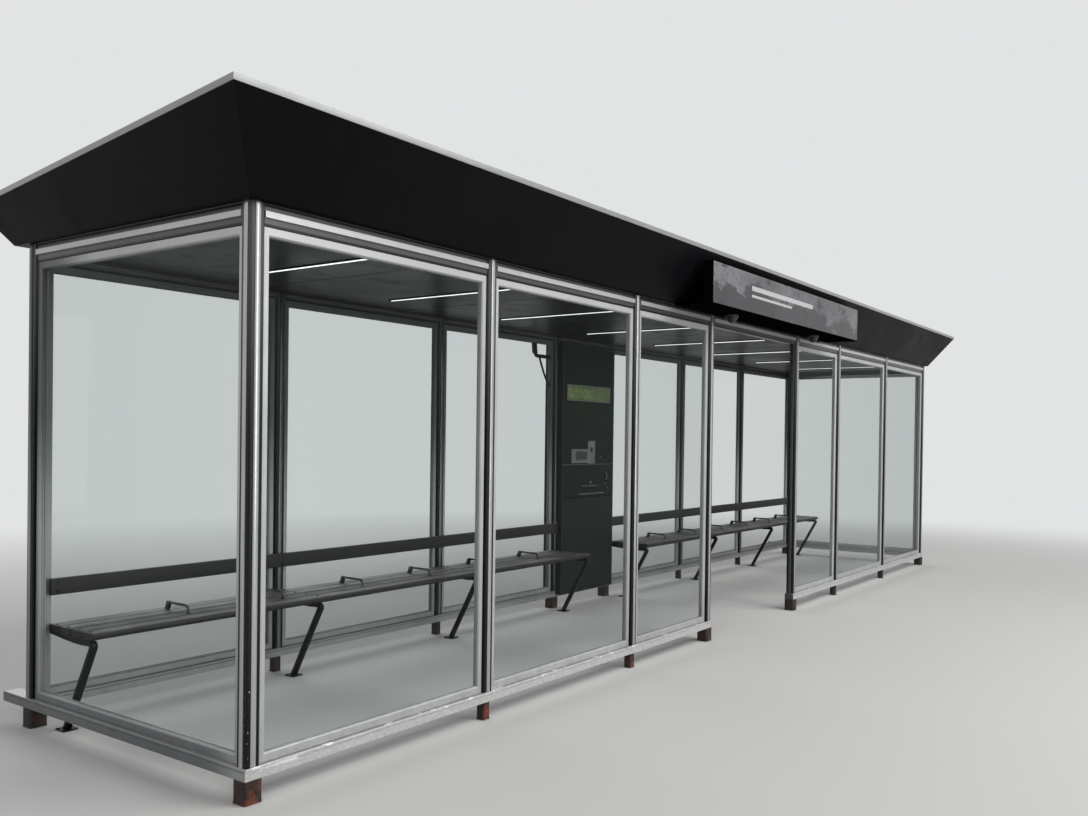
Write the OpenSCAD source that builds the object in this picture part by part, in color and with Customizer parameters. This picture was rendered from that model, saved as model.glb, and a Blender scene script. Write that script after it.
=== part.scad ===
/* [Bays] */
// Wide bay of the front and back walls, post to post
wide_bay = 1500; // [1200:10:1800]
// Narrow bay on each side of the doorway, post to post
narrow_bay = 1085; // [900:5:1300]
// Doorway bay, post to post
doorway_bay = 1680; // [1500:10:2000]
// Depth of the shelter between the middles of its front and back posts
depth_bay = 1824; // [1500:4:2200]

/* [Frame] */
// Outer size of a square post
post_w = 76; // [70:1:90]
// Width of the light rib down the middle of each post face
rib_w = 26; // [22:1:34]
// Depth of the gasket strips beside the rib
strip_d = 7; // [4:1:9]
// Wall of the post extrusion
post_wall = 4; // [3:1:6]
// Height of the feet under the base rail
foot_h = 100; // [60:5:150]
// Height of the base rail
rail_h = 53; // [40:1:70]
// Height of the lower and upper members of a glazing frame
frame_w = 42; // [35:1:55]
// Width of the upright members of a glazing frame
stile_w = 32; // [28:1:45]
// Depth of a glazing frame
frame_d = 40; // [30:1:40]
// Thickness of the glass
glass_t = 10; // [8:1:12]
// Underside of the fascia, where the posts end
eave_z = 2547; // [2400:1:2700]
// Height of the head rail between the glazing and the fascia
head_h = 82; // [70:1:100]

/* [Roof] */
// How far the fascia stands outside the posts at its lower edge
eave_gap = 26; // [20:1:40]
// How far the fascia stands outside the posts at its front upper edge
roof_out = 278; // [200:1:320]
// Upper edge of the fascia at the front
front_top = 2906; // [2800:1:3000]
// Upper edge of the fascia at the back
back_top = 2735; // [2680:1:2800]
// How far the lower edge of the back fascia stands behind the back posts
back_gap = 87; // [50:1:120]
// Thickness of the fascia panels
panel_t = 6; // [4:1:10]
// Height of the metal trim on the fascia
trim_h = 30; // [20:1:40]
// Underside of the ceiling panels
ceiling_z = 2490; // [2480:1:2500]

/* [Sign] */
// Width of the sign box over the doorway
sign_w = 2960; // [2400:10:3100]
// Height of the sign box
sign_h = 303; // [250:1:320]
// How far the front of the sign stands outside the posts
sign_out = 334; // [320:1:380]

/* [Benches] */
// Top of the seat above the ground
seat_z = 540; // [440:5:560]
// Depth of the seat
seat_d = 440; // [400:5:460]
// Number of seats on a bench
seat_count = 7; // [5:1:8]
// Height of the backrest board
backrest_h = 90; // [70:1:120]

/* [Kiosk] */
// Width of the kiosk in the middle of the back wall
kiosk_w = 840; // [780:5:844]
// Depth of the kiosk
kiosk_d = 230; // [200:5:250]

/* [Hidden] */
$fn = 32;

// Post lines along the front, from the left corner post
bays = [wide_bay, wide_bay, narrow_bay, doorway_bay, narrow_bay, wide_bay, wide_bay];
function sum_to(list, count) = count <= 0 ? 0 : list[count - 1] + sum_to(list, count - 1);
front_x = [for (i = [0:7]) post_w / 2 + sum_to(bays, i)];
total_l = front_x[7] + post_w / 2;
total_d = depth_bay + post_w;
mid_x = total_l / 2;
// Post lines along the back: three wide bays on each side of the kiosk
back_x = concat([for (i = [0:3]) front_x[0] + i * wide_bay],
    [for (i = [3:-1:0]) front_x[7] - i * wide_bay]);

// Heights up the wall
rail_top = foot_h + rail_h;
head_z = eave_z - head_h;
gasket_h = 10;
frame_top = head_z - gasket_h;
head_inner = post_w - 8;
frame_set = 18;
glass_set = frame_set + 15;
glass_bite = 12;

// Roof: the fascia leans outwards, the roof falls to the back
flare = (roof_out - eave_gap) / (front_top - eave_z);
function out_at(z) = eave_gap + flare * (z - eave_z);
back_out = out_at(back_top);
back_low = total_d + back_gap;
back_high = back_low + back_out - eave_gap;
fall = (front_top - back_top) / (back_high + roof_out);
function roof_at(y) = front_top - fall * (y + roof_out);
beam_h = 80;
trim_t = 3;
trim_w = 28;
deck_t = 25;
seam_h = 12;

// The box round the whole shelter sets the origin at the middle of its footprint
y_front = -sign_out;
y_back = back_high + trim_t;

// Benches
bench_clear = 8;
bench_x = [post_w + bench_clear, back_x[3] - post_w / 2 - 20];
seat_y = total_d - post_w - 4 - seat_d;
slat_gap = 10;
slat_count = 4;
slat_w = (seat_d - slat_gap * (slat_count - 1)) / slat_count;
slat_t = 38;
arm_r = 9;
rail_proud = 4;
rail_past = 217;
cap_t = 3;

kiosk_left = mid_x - kiosk_w / 2;
kiosk_front = total_d - post_w - 64;
kiosk_low = 120;
kiosk_high = head_z - 25;

module to_frame() {
    translate([-mid_x, -(y_front + y_back) / 2, 0])
        children();
}

// A shape repeated as its mirror image at the other end of the shelter
module both_ends() {
    children();
    translate([total_l, 0, 0]) mirror([1, 0, 0]) children();
}

// A profile in the (y, z) plane carried along x
module along_x(from_x, to_x) {
    translate([from_x, 0, 0])
        rotate([90, 0, 90])
            linear_extrude(height = to_x - from_x)
                children();
}

// Section of the post: a square tube with a rib on each face and a gasket strip on each side of it
module post_section() {
    core = post_w - 2 * strip_d;
    difference() {
        union() {
            square(core, center = true);
            square([post_w, rib_w], center = true);
            square([rib_w, post_w], center = true);
        }
        square(core - 2 * post_wall, center = true);
    }
}

module post(x, y) {
    color("darkgray")
        translate([x, y + post_w / 2, rail_top])
            linear_extrude(height = eave_z - rail_top)
                post_section();
}

module posts(places, y) {
    for (x = places) post(x, y);
}

// Foot: a square steel tube standing on a small plate
module foot(x, y, size) {
    plate = size + 12;
    plate_t = 6;
    wall = 5;
    color("sienna")
        translate([x, y + post_w / 2, 0]) {
            translate([-plate / 2, -plate / 2, 0]) cube([plate, plate, plate_t]);
            translate([0, 0, plate_t])
                linear_extrude(height = foot_h - plate_t)
                    difference() {
                        square(size, center = true);
                        square(size - 2 * wall, center = true);
                    }
        }
}

module feet_row(places, y, strong) {
    for (i = [0:7])
        foot(places[i], y, len([for (s = strong) if (s == i) s]) > 0 ? 84 : 54);
}

module feet() {
    feet_row(front_x, 0, [0, 3, 4, 7]);
    feet_row(back_x, depth_bay, [0, 3, 4, 7]);
}

// Section of the base rail: a hollow box with a shallow groove along both faces
module rail_section() {
    wide = post_w + 2 * rail_proud;
    wall = 4;
    groove = 6;
    difference() {
        translate([-rail_proud, foot_h]) square([wide, rail_h]);
        translate([-rail_proud + wall, foot_h + wall]) square([wide - 2 * wall, rail_h - 2 * wall]);
        for (y = [-rail_proud - 1, post_w + rail_proud - 1])
            translate([y, foot_h + rail_h - 2 * groove - 6]) square([2, groove]);
    }
}

module base_rail(from_x, to_x, y) {
    color("silver")
        translate([0, y, 0]) along_x(from_x, to_x) rail_section();
}

// Plate that closes the open end of a rail
module rail_cap(x) {
    color("silver")
        translate([x, -rail_proud, foot_h]) cube([cap_t, post_w + 2 * rail_proud, rail_h]);
}

// Plan of one end rail, mitred at the front corner and running on past the back posts
module end_rail_plan() {
    p = rail_proud;
    far = total_d + rail_past;
    polygon([[-p, -p], [post_w + p, post_w + p], [post_w + p, far], [-p, far]]);
}

module end_rail() {
    color("silver")
        intersection() {
            translate([0, 0, foot_h]) linear_extrude(height = rail_h) end_rail_plan();
            mirror([1, -1, 0]) along_x(-50, total_d + 300) rail_section();
        }
}

// Plan that cuts a front rail to a mitre at the left corner
module mitre_front(to_x) {
    p = rail_proud;
    translate([0, 0, foot_h])
        linear_extrude(height = rail_h)
            polygon([[-p, -p], [to_x, -p], [to_x, post_w + p], [post_w + p, post_w + p]]);
}

module base_rail_front() {
    last = front_x[3] + post_w / 2;
    both_ends() {
        intersection() {
            base_rail(-50, last, 0);
            mitre_front(last);
        }
        rail_cap(last);
    }
}

module base_rail_back() {
    base_rail(post_w + rail_proud, total_l - post_w - rail_proud, depth_bay);
}

module base_rail_ends() {
    both_ends() {
        end_rail();
        mirror([1, -1, 0]) rail_cap(total_d + rail_past);
    }
}

// Black strips that line the four outer corners of every post, set back from its ribs
module strips(x, y) {
    core = post_w - 2 * strip_d;
    half = core / 2 + 2.5;
    corner_r = 5;
    color("black")
        translate([x, y + post_w / 2, rail_top])
            linear_extrude(height = eave_z - rail_top)
                difference() {
                    union() {
                        square([2 * half, 2 * (half - corner_r)], center = true);
                        square([2 * (half - corner_r), 2 * half], center = true);
                        for (a = [45:90:315])
                            rotate(a) translate([(half - corner_r) * sqrt(2), 0]) circle(r = corner_r);
                    }
                    square(core, center = true);
                    square([post_w, rib_w + 1], center = true);
                    square([rib_w + 1, post_w], center = true);
                }
}

module post_strips() {
    for (x = front_x) strips(x, 0);
    for (x = back_x) strips(x, depth_bay);
}

module corner_posts() {
    posts([front_x[0], front_x[7]], 0);
    posts([back_x[0], back_x[7]], depth_bay);
}

module front_posts_left() {
    posts([front_x[1], front_x[2]], 0);
}

module doorway_posts() {
    posts([front_x[3], front_x[4]], 0);
}

module front_posts_right() {
    posts([front_x[5], front_x[6]], 0);
}

module back_posts_left() {
    posts([back_x[1], back_x[2]], depth_bay);
}

module kiosk_posts() {
    posts([back_x[3], back_x[4]], depth_bay);
}

module back_posts_right() {
    posts([back_x[5], back_x[6]], depth_bay);
}

// Section of the head rail, outer face at y = 0: groove, fin and groove, and a ledge for the ceiling
module head_section(ledge) {
    face = 4;
    back = 14;
    groove = 26;
    fin = 27;
    polygon([[back, frame_top], [head_inner, frame_top], [head_inner, eave_z], [back, eave_z],
        [back, head_z + groove + fin], [face, head_z + groove + fin], [face, head_z + groove],
        [back, head_z + groove]]);
    if (ledge > 0)
        translate([head_inner - 1, ceiling_z - 8]) square([ledge + 1, 8]);
}

// Head rail pieces between the posts of one row
module head_row(places, y, turned) {
    color("gray")
        for (i = [0:6])
            translate([0, y, 0])
                along_x(places[i] + post_w / 2, places[i + 1] - post_w / 2)
                    translate([turned ? post_w : 0, 0])
                        mirror([turned ? 1 : 0, 0])
                            head_section(24);
}

module head_rail_front() {
    head_row(front_x, 0, false);
}

module head_rail_back() {
    head_row(back_x, depth_bay, true);
}

module end_head() {
    color("gray")
        mirror([1, -1, 0])
            along_x(post_w, total_d - post_w)
                head_section(0);
}

module head_rail_ends() {
    both_ends() end_head();
}

// Glass of one bay, in the (x, z) plane, from the left edge of the bay to its right edge
module pane(from_x, to_x) {
    side = stile_w - glass_bite;
    low = frame_w - glass_bite;
    color("lightblue", 0.4)
        translate([from_x + side, glass_set, rail_top + low])
            cube([to_x - from_x - 2 * side, glass_t, frame_top - rail_top - 2 * low]);
}

// Glazing frame of one bay, rebated for its glass, with a thinner bead round the opening
module glazing_frame(from_x, to_x) {
    bead = 10;
    bead_set = 6;
    clear_w = to_x - from_x - 2 * stile_w;
    clear_h = frame_top - rail_top - 2 * frame_w;
    color("silver")
        difference() {
            translate([from_x, frame_set, rail_top])
                cube([to_x - from_x, frame_d, frame_top - rail_top]);
            translate([from_x + stile_w, 0, rail_top + frame_w])
                cube([clear_w, post_w, clear_h]);
            for (y = [frame_set - 1, frame_set + frame_d - bead_set])
                translate([from_x + stile_w - bead, y, rail_top + frame_w - bead])
                    cube([clear_w + 2 * bead, bead_set + 1, clear_h + 2 * bead]);
            pane(from_x, to_x);
        }
}

module frame_row(places, y, picks, turned) {
    for (i = picks)
        translate([0, turned ? y + post_w : y, 0])
            mirror([0, turned ? 1 : 0, 0])
                glazing_frame(places[i] + post_w / 2, places[i + 1] - post_w / 2);
}

module pane_row(places, y, picks, turned) {
    for (i = picks)
        translate([0, turned ? y + post_w : y, 0])
            mirror([0, turned ? 1 : 0, 0])
                pane(places[i] + post_w / 2, places[i + 1] - post_w / 2);
}

module glazing_frames_front_left() {
    frame_row(front_x, 0, [0, 1, 2], false);
}

module glazing_frames_front_right() {
    frame_row(front_x, 0, [4, 5, 6], false);
}

module glazing_frames_back_left() {
    frame_row(back_x, depth_bay, [0, 1, 2], true);
}

module glazing_frames_back_right() {
    frame_row(back_x, depth_bay, [4, 5, 6], true);
}

module glazing_frames_ends() {
    both_ends() mirror([1, -1, 0]) glazing_frame(post_w, total_d - post_w);
}

module glass_front() {
    pane_row(front_x, 0, [0, 1, 2, 4, 5, 6], false);
}

module glass_back() {
    pane_row(back_x, depth_bay, [0, 1, 2, 4, 5, 6], true);
}

module glass_ends() {
    both_ends() mirror([1, -1, 0]) pane(post_w, total_d - post_w);
}

// Flared body of the roof, pulled in by inset from its outer faces, from low_z up to a lid
module roof_body(inset, low_z, lid) {
    high_z = front_top + 200;
    low_out = out_at(low_z) - inset;
    high_out = out_at(high_z) - inset;
    wall_y = back_low - eave_gap;
    from_y = -roof_out - 200;
    to_y = back_high + 200;
    intersection() {
        along_x(-roof_out - 200, total_l + roof_out + 200)
            polygon([[-low_out, low_z], [wall_y + low_out, low_z],
                [wall_y + high_out, high_z], [-high_out, high_z]]);
        mirror([1, -1, 0])
            along_x(from_y, to_y)
                polygon([[-low_out, low_z], [total_l + low_out, low_z],
                    [total_l + high_out, high_z], [-high_out, high_z]]);
        along_x(-roof_out - 200, total_l + roof_out + 200)
            polygon([[from_y, low_z], [to_y, low_z],
                [to_y, roof_at(to_y) + lid], [from_y, roof_at(from_y) + lid]]);
    }
}

// Shell of the fascia with a soffit strip that turns in to the posts
module fascia_shell() {
    difference() {
        roof_body(0, eave_z, 0);
        roof_body(panel_t, eave_z + panel_t, 10);
        translate([0, 0, eave_z - 1]) cube([total_l, total_d, panel_t + 2]);
    }
}

// Plans that part the shell at its mitred corners
mitre_in = 900;
mitre_far = 600;
back_corner = back_low + eave_gap;

module front_part() {
    polygon([[-mitre_far, -mitre_far], [total_l + mitre_far, -mitre_far],
        [total_l - mitre_in, mitre_in], [mitre_in, mitre_in]]);
}

module left_part() {
    polygon([[-mitre_far, -mitre_far], [mitre_in, mitre_in],
        [mitre_in, back_corner - eave_gap * 2 - mitre_in],
        [-mitre_far, back_corner - eave_gap * 2 + mitre_far]]);
}

module back_part() {
    corner = back_corner - eave_gap * 2;
    polygon([[mitre_in, corner - mitre_in], [total_l - mitre_in, corner - mitre_in],
        [total_l + mitre_far, corner + mitre_far], [-mitre_far, corner + mitre_far]]);
}

module shell_part() {
    color("dimgray")
        intersection() {
            fascia_shell();
            translate([0, 0, eave_z - 10])
                linear_extrude(height = front_top - eave_z + 100)
                    children();
        }
}

module fascia_front() {
    shell_part() front_part();
}

module fascia_back() {
    shell_part() back_part();
}

module fascia_left() {
    shell_part() left_part();
}

module fascia_right() {
    translate([total_l, 0, 0]) mirror([1, 0, 0]) shell_part() left_part();
}

// Plan of the roof's upper edge, grown outwards by more
module roof_plan(more) {
    polygon([[-roof_out - more, -roof_out - more], [total_l + roof_out + more, -roof_out - more],
        [total_l + back_out + more, back_high + more], [-back_out - more, back_high + more]]);
}

// Sloping layer between two heights above the roof line
module roof_layer(low, high) {
    from_y = -roof_out - 50;
    to_y = back_high + 50;
    intersection() {
        along_x(-roof_out - 100, total_l + roof_out + 100)
            polygon([[from_y, roof_at(from_y) + low], [to_y, roof_at(to_y) + low],
                [to_y, roof_at(to_y) + high], [from_y, roof_at(from_y) + high]]);
        translate([0, 0, eave_z]) linear_extrude(height = 600) children();
    }
}

module roof_trim() {
    color("lightgray")
        difference() {
            roof_layer(0, trim_h) roof_plan(trim_t);
            roof_layer(-1, trim_h + 1) roof_plan(trim_t - trim_w);
        }
}

// Ring beam on the posts and a tapered web across the roof over each back post
module roof_beams() {
    web_t = 8;
    web_set = 16;
    color("slategray")
        union() {
            difference() {
                translate([0, 0, eave_z]) cube([total_l, total_d, beam_h]);
                translate([post_w, post_w, eave_z - 1])
                    cube([total_l - 2 * post_w, total_d - 2 * post_w, beam_h + 2]);
            }
            for (x = back_x)
                along_x(x - web_t / 2, x + web_t / 2)
                    polygon([[0, eave_z + beam_h], [total_d, eave_z + beam_h],
                        [total_d + web_set, roof_at(total_d + web_set) - deck_t],
                        [-web_set, roof_at(-web_set) - deck_t]]);
        }
}

// Sheet roof between the trim, with standing seams down the slope
module roof_deck() {
    seams = 8;
    seam_w = 16;
    pitch = total_l / seams;
    color("gray") {
        roof_layer(-deck_t, 0) roof_plan(trim_t - trim_w - 1);
        for (i = [1:seams - 1])
            roof_layer(0, seam_h)
                translate([i * pitch - seam_w / 2, -roof_out + 60])
                    square([seam_w, back_high + roof_out - 120]);
    }
}

lamp_pitch = 1150;
lamp_count = 8;
lamp_w = 36;
lamp_t = 10;
lamp_y = [200, 1400];
function lamp_x(i) = mid_x + (i - (lamp_count - 1) / 2) * lamp_pitch;

// Ceiling panels that rest on the ledges of the front and back head rails
module ceiling() {
    panels = 8;
    joint = 8;
    from_y = post_w;
    to_y = total_d - post_w;
    left = head_inner;
    pitch = (total_l - 2 * left) / panels;
    color("dimgray")
        for (i = [0:panels - 1])
            translate([left + i * pitch + joint / 2, from_y, ceiling_z])
                cube([pitch - joint, to_y - from_y, 14]);
}

module ceiling_lamps() {
    color("white")
        for (i = [0:lamp_count - 1])
            translate([lamp_x(i) - lamp_w / 2, lamp_y[0], ceiling_z - lamp_t])
                cube([lamp_w, lamp_y[1] - lamp_y[0], lamp_t]);
}

sign_low = eave_z - 15;
sign_top = sign_low + sign_h;
sign_face_t = 4;

sign_sheet = 3;
sign_d = 72;

// Section of the shallow sign housing behind its face
module sign_outline(inset) {
    translate([-sign_out + sign_face_t + inset, sign_low + inset])
        square([sign_d - sign_face_t - 2 * inset, sign_h - 2 * inset]);
}

// Section of a plate that carries the housing on the leaning fascia
module sign_bracket() {
    polygon([[-sign_out + sign_d - 1, sign_low], [-eave_gap, sign_low], [-eave_gap, eave_z],
        [-out_at(sign_top - 20), sign_top - 20], [-sign_out + sign_d - 1, sign_top - 20]]);
}

// Sign housing: a shallow box, the sheet under the fascia behind it and the plates that hold both
module sign_box() {
    left = mid_x - sign_w / 2;
    right = mid_x + sign_w / 2;
    color("black") {
        difference() {
            along_x(left, right) sign_outline(0);
            along_x(left + sign_sheet, right - sign_sheet) sign_outline(sign_sheet);
        }
        along_x(left, right) {
            translate([-sign_out + sign_d - 1, sign_low])
                square([sign_out - sign_d + 1 - eave_gap, sign_sheet]);
            translate([-eave_gap - sign_sheet, sign_low]) square([sign_sheet, eave_z - sign_low]);
        }
        for (x = [left + 250, mid_x - 2, right - 254]) along_x(x, x + 4) sign_bracket();
    }
}

module sign_face() {
    color("gray")
        translate([mid_x - sign_w / 2, -sign_out, sign_low])
            cube([sign_w, sign_face_t, sign_h]);
}

camera_in = 820;
camera_y = -150;
base_r = 52;
base_h = 24;
dome_r = 40;

module camera_bases() {
    color("gray")
        for (side = [-1, 1])
            translate([mid_x + side * camera_in, camera_y, sign_low - base_h])
                cylinder(h = base_h, r = base_r);
}

module camera_domes() {
    color("black")
        for (side = [-1, 1])
            translate([mid_x + side * camera_in, camera_y, sign_low - base_h])
                intersection() {
                    sphere(r = dome_r);
                    translate([-dome_r, -dome_r, -dome_r - 1]) cube([2 * dome_r, 2 * dome_r, dome_r + 1]);
                }
}

// Small upright camera box on an arm and a bowed brace from the post beside the kiosk
module camera_bracket() {
    arm_y = depth_bay + post_w / 2;
    post_x = back_x[3] - post_w / 2;
    bar = 16;
    arm_z = 2296;
    arm_h = 26;
    reach = 245;
    brace = [for (i = [0:12]) [post_x - 185 * pow(i / 12, 0.7), arm_z + 2 - 205 * (1 - i / 12)]];
    color("black") {
        translate([post_x - reach, arm_y - bar / 2, arm_z]) cube([reach, bar, arm_h]);
        translate([post_x - reach - 30, arm_y - 14, arm_z - 4]) cube([52, 28, 124]);
        translate([post_x - 6, arm_y - 12, arm_z - 224]) cube([6, 24, 50]);
        rotate([90, 0, 0])
            translate([0, 0, -arm_y - bar / 2])
                linear_extrude(height = bar)
                    polygon(concat(brace, [for (i = [12:-1:0]) brace[i] + [0, -16]]));
    }
}

// Seat slats of one bench on flat cross bars, the front slat with a round nose
module bench_seat() {
    length = bench_x[1] - bench_x[0];
    color("saddlebrown") {
        for (i = [1:slat_count - 1])
            translate([bench_x[0], seat_y + i * (slat_w + slat_gap), seat_z - slat_t])
                cube([length, slat_w, slat_t]);
        along_x(bench_x[0], bench_x[1]) {
            translate([seat_y + slat_t / 2, seat_z - slat_t / 2]) circle(d = slat_t);
            translate([seat_y + slat_t / 2, seat_z - slat_t]) square([slat_w - slat_t / 2, slat_t]);
        }
    }
}

module bench_seats() {
    both_ends() bench_seat();
}

module backrest() {
    board_t = 28;
    low = 692;
    color("saddlebrown")
        translate([bench_x[0], depth_bay - board_t, low])
            cube([kiosk_left - 2 - bench_x[0], board_t, backrest_h]);
}

module bench_backrests() {
    both_ends() backrest();
}

arm_y = [seat_y + 150, seat_y + 378];
arm_h = 55;
arm_bend = 24;
arm_block = [24, 36, 52];
seat_pitch = 640;

// Quarter bend of a round bar in the (y, z) plane, about the point (y, z)
module bar_bend(y, z, turn, bend_r, bar_r) {
    translate([0, y, z])
        rotate([turn, 0, 0])
            rotate([90, 0, 90])
                rotate_extrude(angle = 90)
                    translate([bend_r, 0]) circle(r = bar_r);
}

// Armrest: an upright block near the back of the seat and a round bar that runs forward and bends down
module armrest(x) {
    top = seat_z + arm_h - arm_r - 4;
    translate([x, 0, 0]) {
        translate([-arm_block[0] / 2, arm_y[1] - arm_block[1], seat_z]) cube(arm_block);
        translate([0, arm_y[0], seat_z]) cylinder(h = top - arm_bend - seat_z, r = arm_r);
        translate([0, arm_y[0] + arm_bend, top])
            rotate([-90, 0, 0]) cylinder(h = arm_y[1] - arm_y[0] - arm_bend - 10, r = arm_r);
        bar_bend(arm_y[0] + arm_bend, top - arm_bend, 90, arm_bend, arm_r);
    }
}

module bench_armrests() {
    color("black")
        both_ends()
            for (i = [1:seat_count - 1])
                armrest(bench_x[0] - 20 + i * seat_pitch);
}

leg_places = [20, 1450, 2920, bench_x[1] - bench_x[0] - 20];
leg_w = 40;
leg_t = 34;
leg_top = [seat_y + 8, seat_z - slat_t];
leg_foot = [seat_y + 280, 6];
bar_low = 14;
bar_high = 46;

// Bars under the slats, deeper towards the front, where the legs take over
module bench_crossbars() {
    color("black")
        both_ends()
            for (x = leg_places)
                along_x(bench_x[0] + x - leg_w / 2, bench_x[0] + x + leg_w / 2)
                    polygon([[leg_top[0] + leg_t, leg_top[1] - leg_t], [leg_top[0] + leg_t, leg_top[1]],
                        [seat_y + seat_d, leg_top[1]], [seat_y + seat_d, leg_top[1] - bar_low],
                        [leg_top[0] + 150, leg_top[1] - bar_high + 8],
                        [leg_top[0] + leg_t + 9, leg_top[1] - bar_high]]);
}

// Leg: a flat bar with a rounded knee under the front slats, which leans back to a plate on the ground
module leg(x) {
    knee_r = leg_t;
    knee = [leg_top[0] + knee_r, leg_top[1] - knee_r];
    lean = atan2(leg_foot[0] - leg_top[0] - 14, knee[1] - leg_foot[1]);
    along_x(bench_x[0] + x - leg_w / 2, bench_x[0] + x + leg_w / 2) {
        intersection() {
            translate(knee) circle(r = knee_r, $fn = 64);
            translate([leg_top[0], knee[1] - knee_r]) square([knee_r, 2 * knee_r]);
        }
        intersection() {
            translate(knee) rotate(lean) translate([-knee_r, -800]) square([leg_t, 800]);
            translate([leg_top[0] - 50, leg_foot[1]]) square([600, knee[1]]);
        }
    }
    translate([bench_x[0] + x - 40, leg_foot[0] - 45, 0]) cube([80, 90, leg_foot[1]]);
}

module bench_legs() {
    color("black")
        both_ends()
            for (x = leg_places) leg(x);
}

// Kiosk housing: a tall steel case between the middle posts of the back wall, hung in front of the rail
module kiosk_body() {
    depth = total_d - post_w - kiosk_front;
    bay = back_x[4] - back_x[3] - post_w;
    color("darkslategray")
        difference() {
            union() {
                translate([kiosk_left, kiosk_front, kiosk_low])
                    cube([kiosk_w, depth, kiosk_high - kiosk_low]);
                translate([mid_x - bay / 2, kiosk_front + depth - 1, rail_top])
                    cube([bay, kiosk_d - depth + 1, frame_top - rail_top]);
            }
            translate([kiosk_left - 1, depth_bay - rail_proud, kiosk_low - 1])
                cube([kiosk_w + 2, 50, rail_top - kiosk_low + 1]);
            translate([kiosk_left + 20, kiosk_front - 1, kiosk_low + 20])
                cube([kiosk_w - 40, 31, kiosk_high - kiosk_low - 40]);
        }
}

// Heights of the three front panels
kiosk_cuts = [kiosk_low + 20, 1008, 1316, kiosk_high - 20];

module kiosk_doors() {
    gap = 3;
    color("black")
        for (i = [0:2])
            translate([kiosk_left + 20 + gap, kiosk_front, kiosk_cuts[i] + gap])
                cube([kiosk_w - 40 - 2 * gap, 30, kiosk_cuts[i + 1] - kiosk_cuts[i] - 2 * gap]);
}

// Small fittings on the kiosk's front, placed by their share of its width and their height
fit_t = 5;
module kiosk_fitting(left, right, low, high, thick) {
    translate([kiosk_left + left * kiosk_w, kiosk_front - thick, low])
        cube([(right - left) * kiosk_w, thick, high - low]);
}

module kiosk_fittings() {
    color("gray") {
        kiosk_fitting(0.085, 0.905, 1920, 2054, 3);
        kiosk_fitting(0.475, 0.615, 1322, 1540, fit_t);
        difference() {
            kiosk_fitting(0.165, 0.475, 1330, 1462, fit_t);
            kiosk_fitting(0.245, 0.462, 1362, 1438, fit_t + 1);
        }
        kiosk_fitting(0.295, 0.775, 1028, 1042, 20);
        kiosk_fitting(0.37, 0.685, 1108, 1114, fit_t);
        difference() {
            kiosk_fitting(0.80, 0.865, 1158, 1250, 26);
            kiosk_fitting(0.79, 0.875, 1172, 1236, 14);
        }
        for (at = [[0.535, 1145, 12], [0.72, 1384, 8], [0.825, 1126, 9], [0.875, 1090, 8]])
            translate([kiosk_left + at[0] * kiosk_w, kiosk_front, at[1]])
                rotate([90, 0, 0]) cylinder(h = fit_t + 2, r = at[2]);
    }
}

to_frame() {
    feet();
    base_rail_front();
    base_rail_back();
    base_rail_ends();
    corner_posts();
    front_posts_left();
    doorway_posts();
    front_posts_right();
    back_posts_left();
    kiosk_posts();
    back_posts_right();
    post_strips();
    head_rail_front();
    head_rail_back();
    head_rail_ends();
    glazing_frames_front_left();
    glazing_frames_front_right();
    glazing_frames_back_left();
    glazing_frames_back_right();
    glazing_frames_ends();
    glass_front();
    glass_back();
    glass_ends();
    fascia_front();
    fascia_back();
    fascia_left();
    fascia_right();
    roof_trim();
    roof_beams();
    roof_deck();
    ceiling();
    ceiling_lamps();
    sign_box();
    sign_face();
    camera_bases();
    camera_domes();
    camera_bracket();
    bench_seats();
    bench_backrests();
    bench_armrests();
    bench_crossbars();
    bench_legs();
    kiosk_body();
    kiosk_doors();
    kiosk_fittings();
}
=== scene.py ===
import math

import bmesh
import bpy
import numpy as np
from mathutils import Matrix, Vector


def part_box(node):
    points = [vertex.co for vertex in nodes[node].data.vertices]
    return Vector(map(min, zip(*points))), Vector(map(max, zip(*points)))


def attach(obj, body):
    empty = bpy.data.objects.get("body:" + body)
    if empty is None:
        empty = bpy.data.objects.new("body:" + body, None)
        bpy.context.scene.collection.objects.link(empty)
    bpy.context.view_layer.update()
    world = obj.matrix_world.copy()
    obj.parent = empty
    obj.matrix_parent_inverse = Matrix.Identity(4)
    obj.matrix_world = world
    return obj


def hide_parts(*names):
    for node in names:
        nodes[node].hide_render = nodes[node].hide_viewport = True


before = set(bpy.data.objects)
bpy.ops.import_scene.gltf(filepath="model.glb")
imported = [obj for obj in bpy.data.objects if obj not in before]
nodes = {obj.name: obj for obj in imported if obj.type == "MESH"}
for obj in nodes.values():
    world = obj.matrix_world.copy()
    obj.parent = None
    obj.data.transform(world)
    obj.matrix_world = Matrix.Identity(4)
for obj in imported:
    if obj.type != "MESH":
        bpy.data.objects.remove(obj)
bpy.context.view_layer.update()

# Glazed bus shelter. Metres; x runs along the shelter, y from the doorway to the back wall, z up.
print("frame loaded:", len(nodes), "nodes")

# places below are measured from the outer left front corner of the posts, at the ground
home = np.array([*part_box("corner_posts")[0].xy, 0.0])
plan = dict(front=[0.038, 1.538, 3.038, 4.123, 5.803, 6.888, 8.388, 9.888],
            back=[0.038, 1.538, 3.038, 4.538, 5.388, 6.888, 8.388, 9.888],
            length=9.926, depth=1.9, half=0.038, railLow=0.1, railTop=0.153, frameTop=2.455, eave=2.547)
roof = dict(out=0.278, backOut=0.15797, back=2.11897, top=2.906, fall=0.07134)
half, middle = plan["half"], plan["length"] / 2
wallY = dict(front=half, back=plan["depth"] - half)
xAxis, yAxis, zAxis = np.eye(3)


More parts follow.
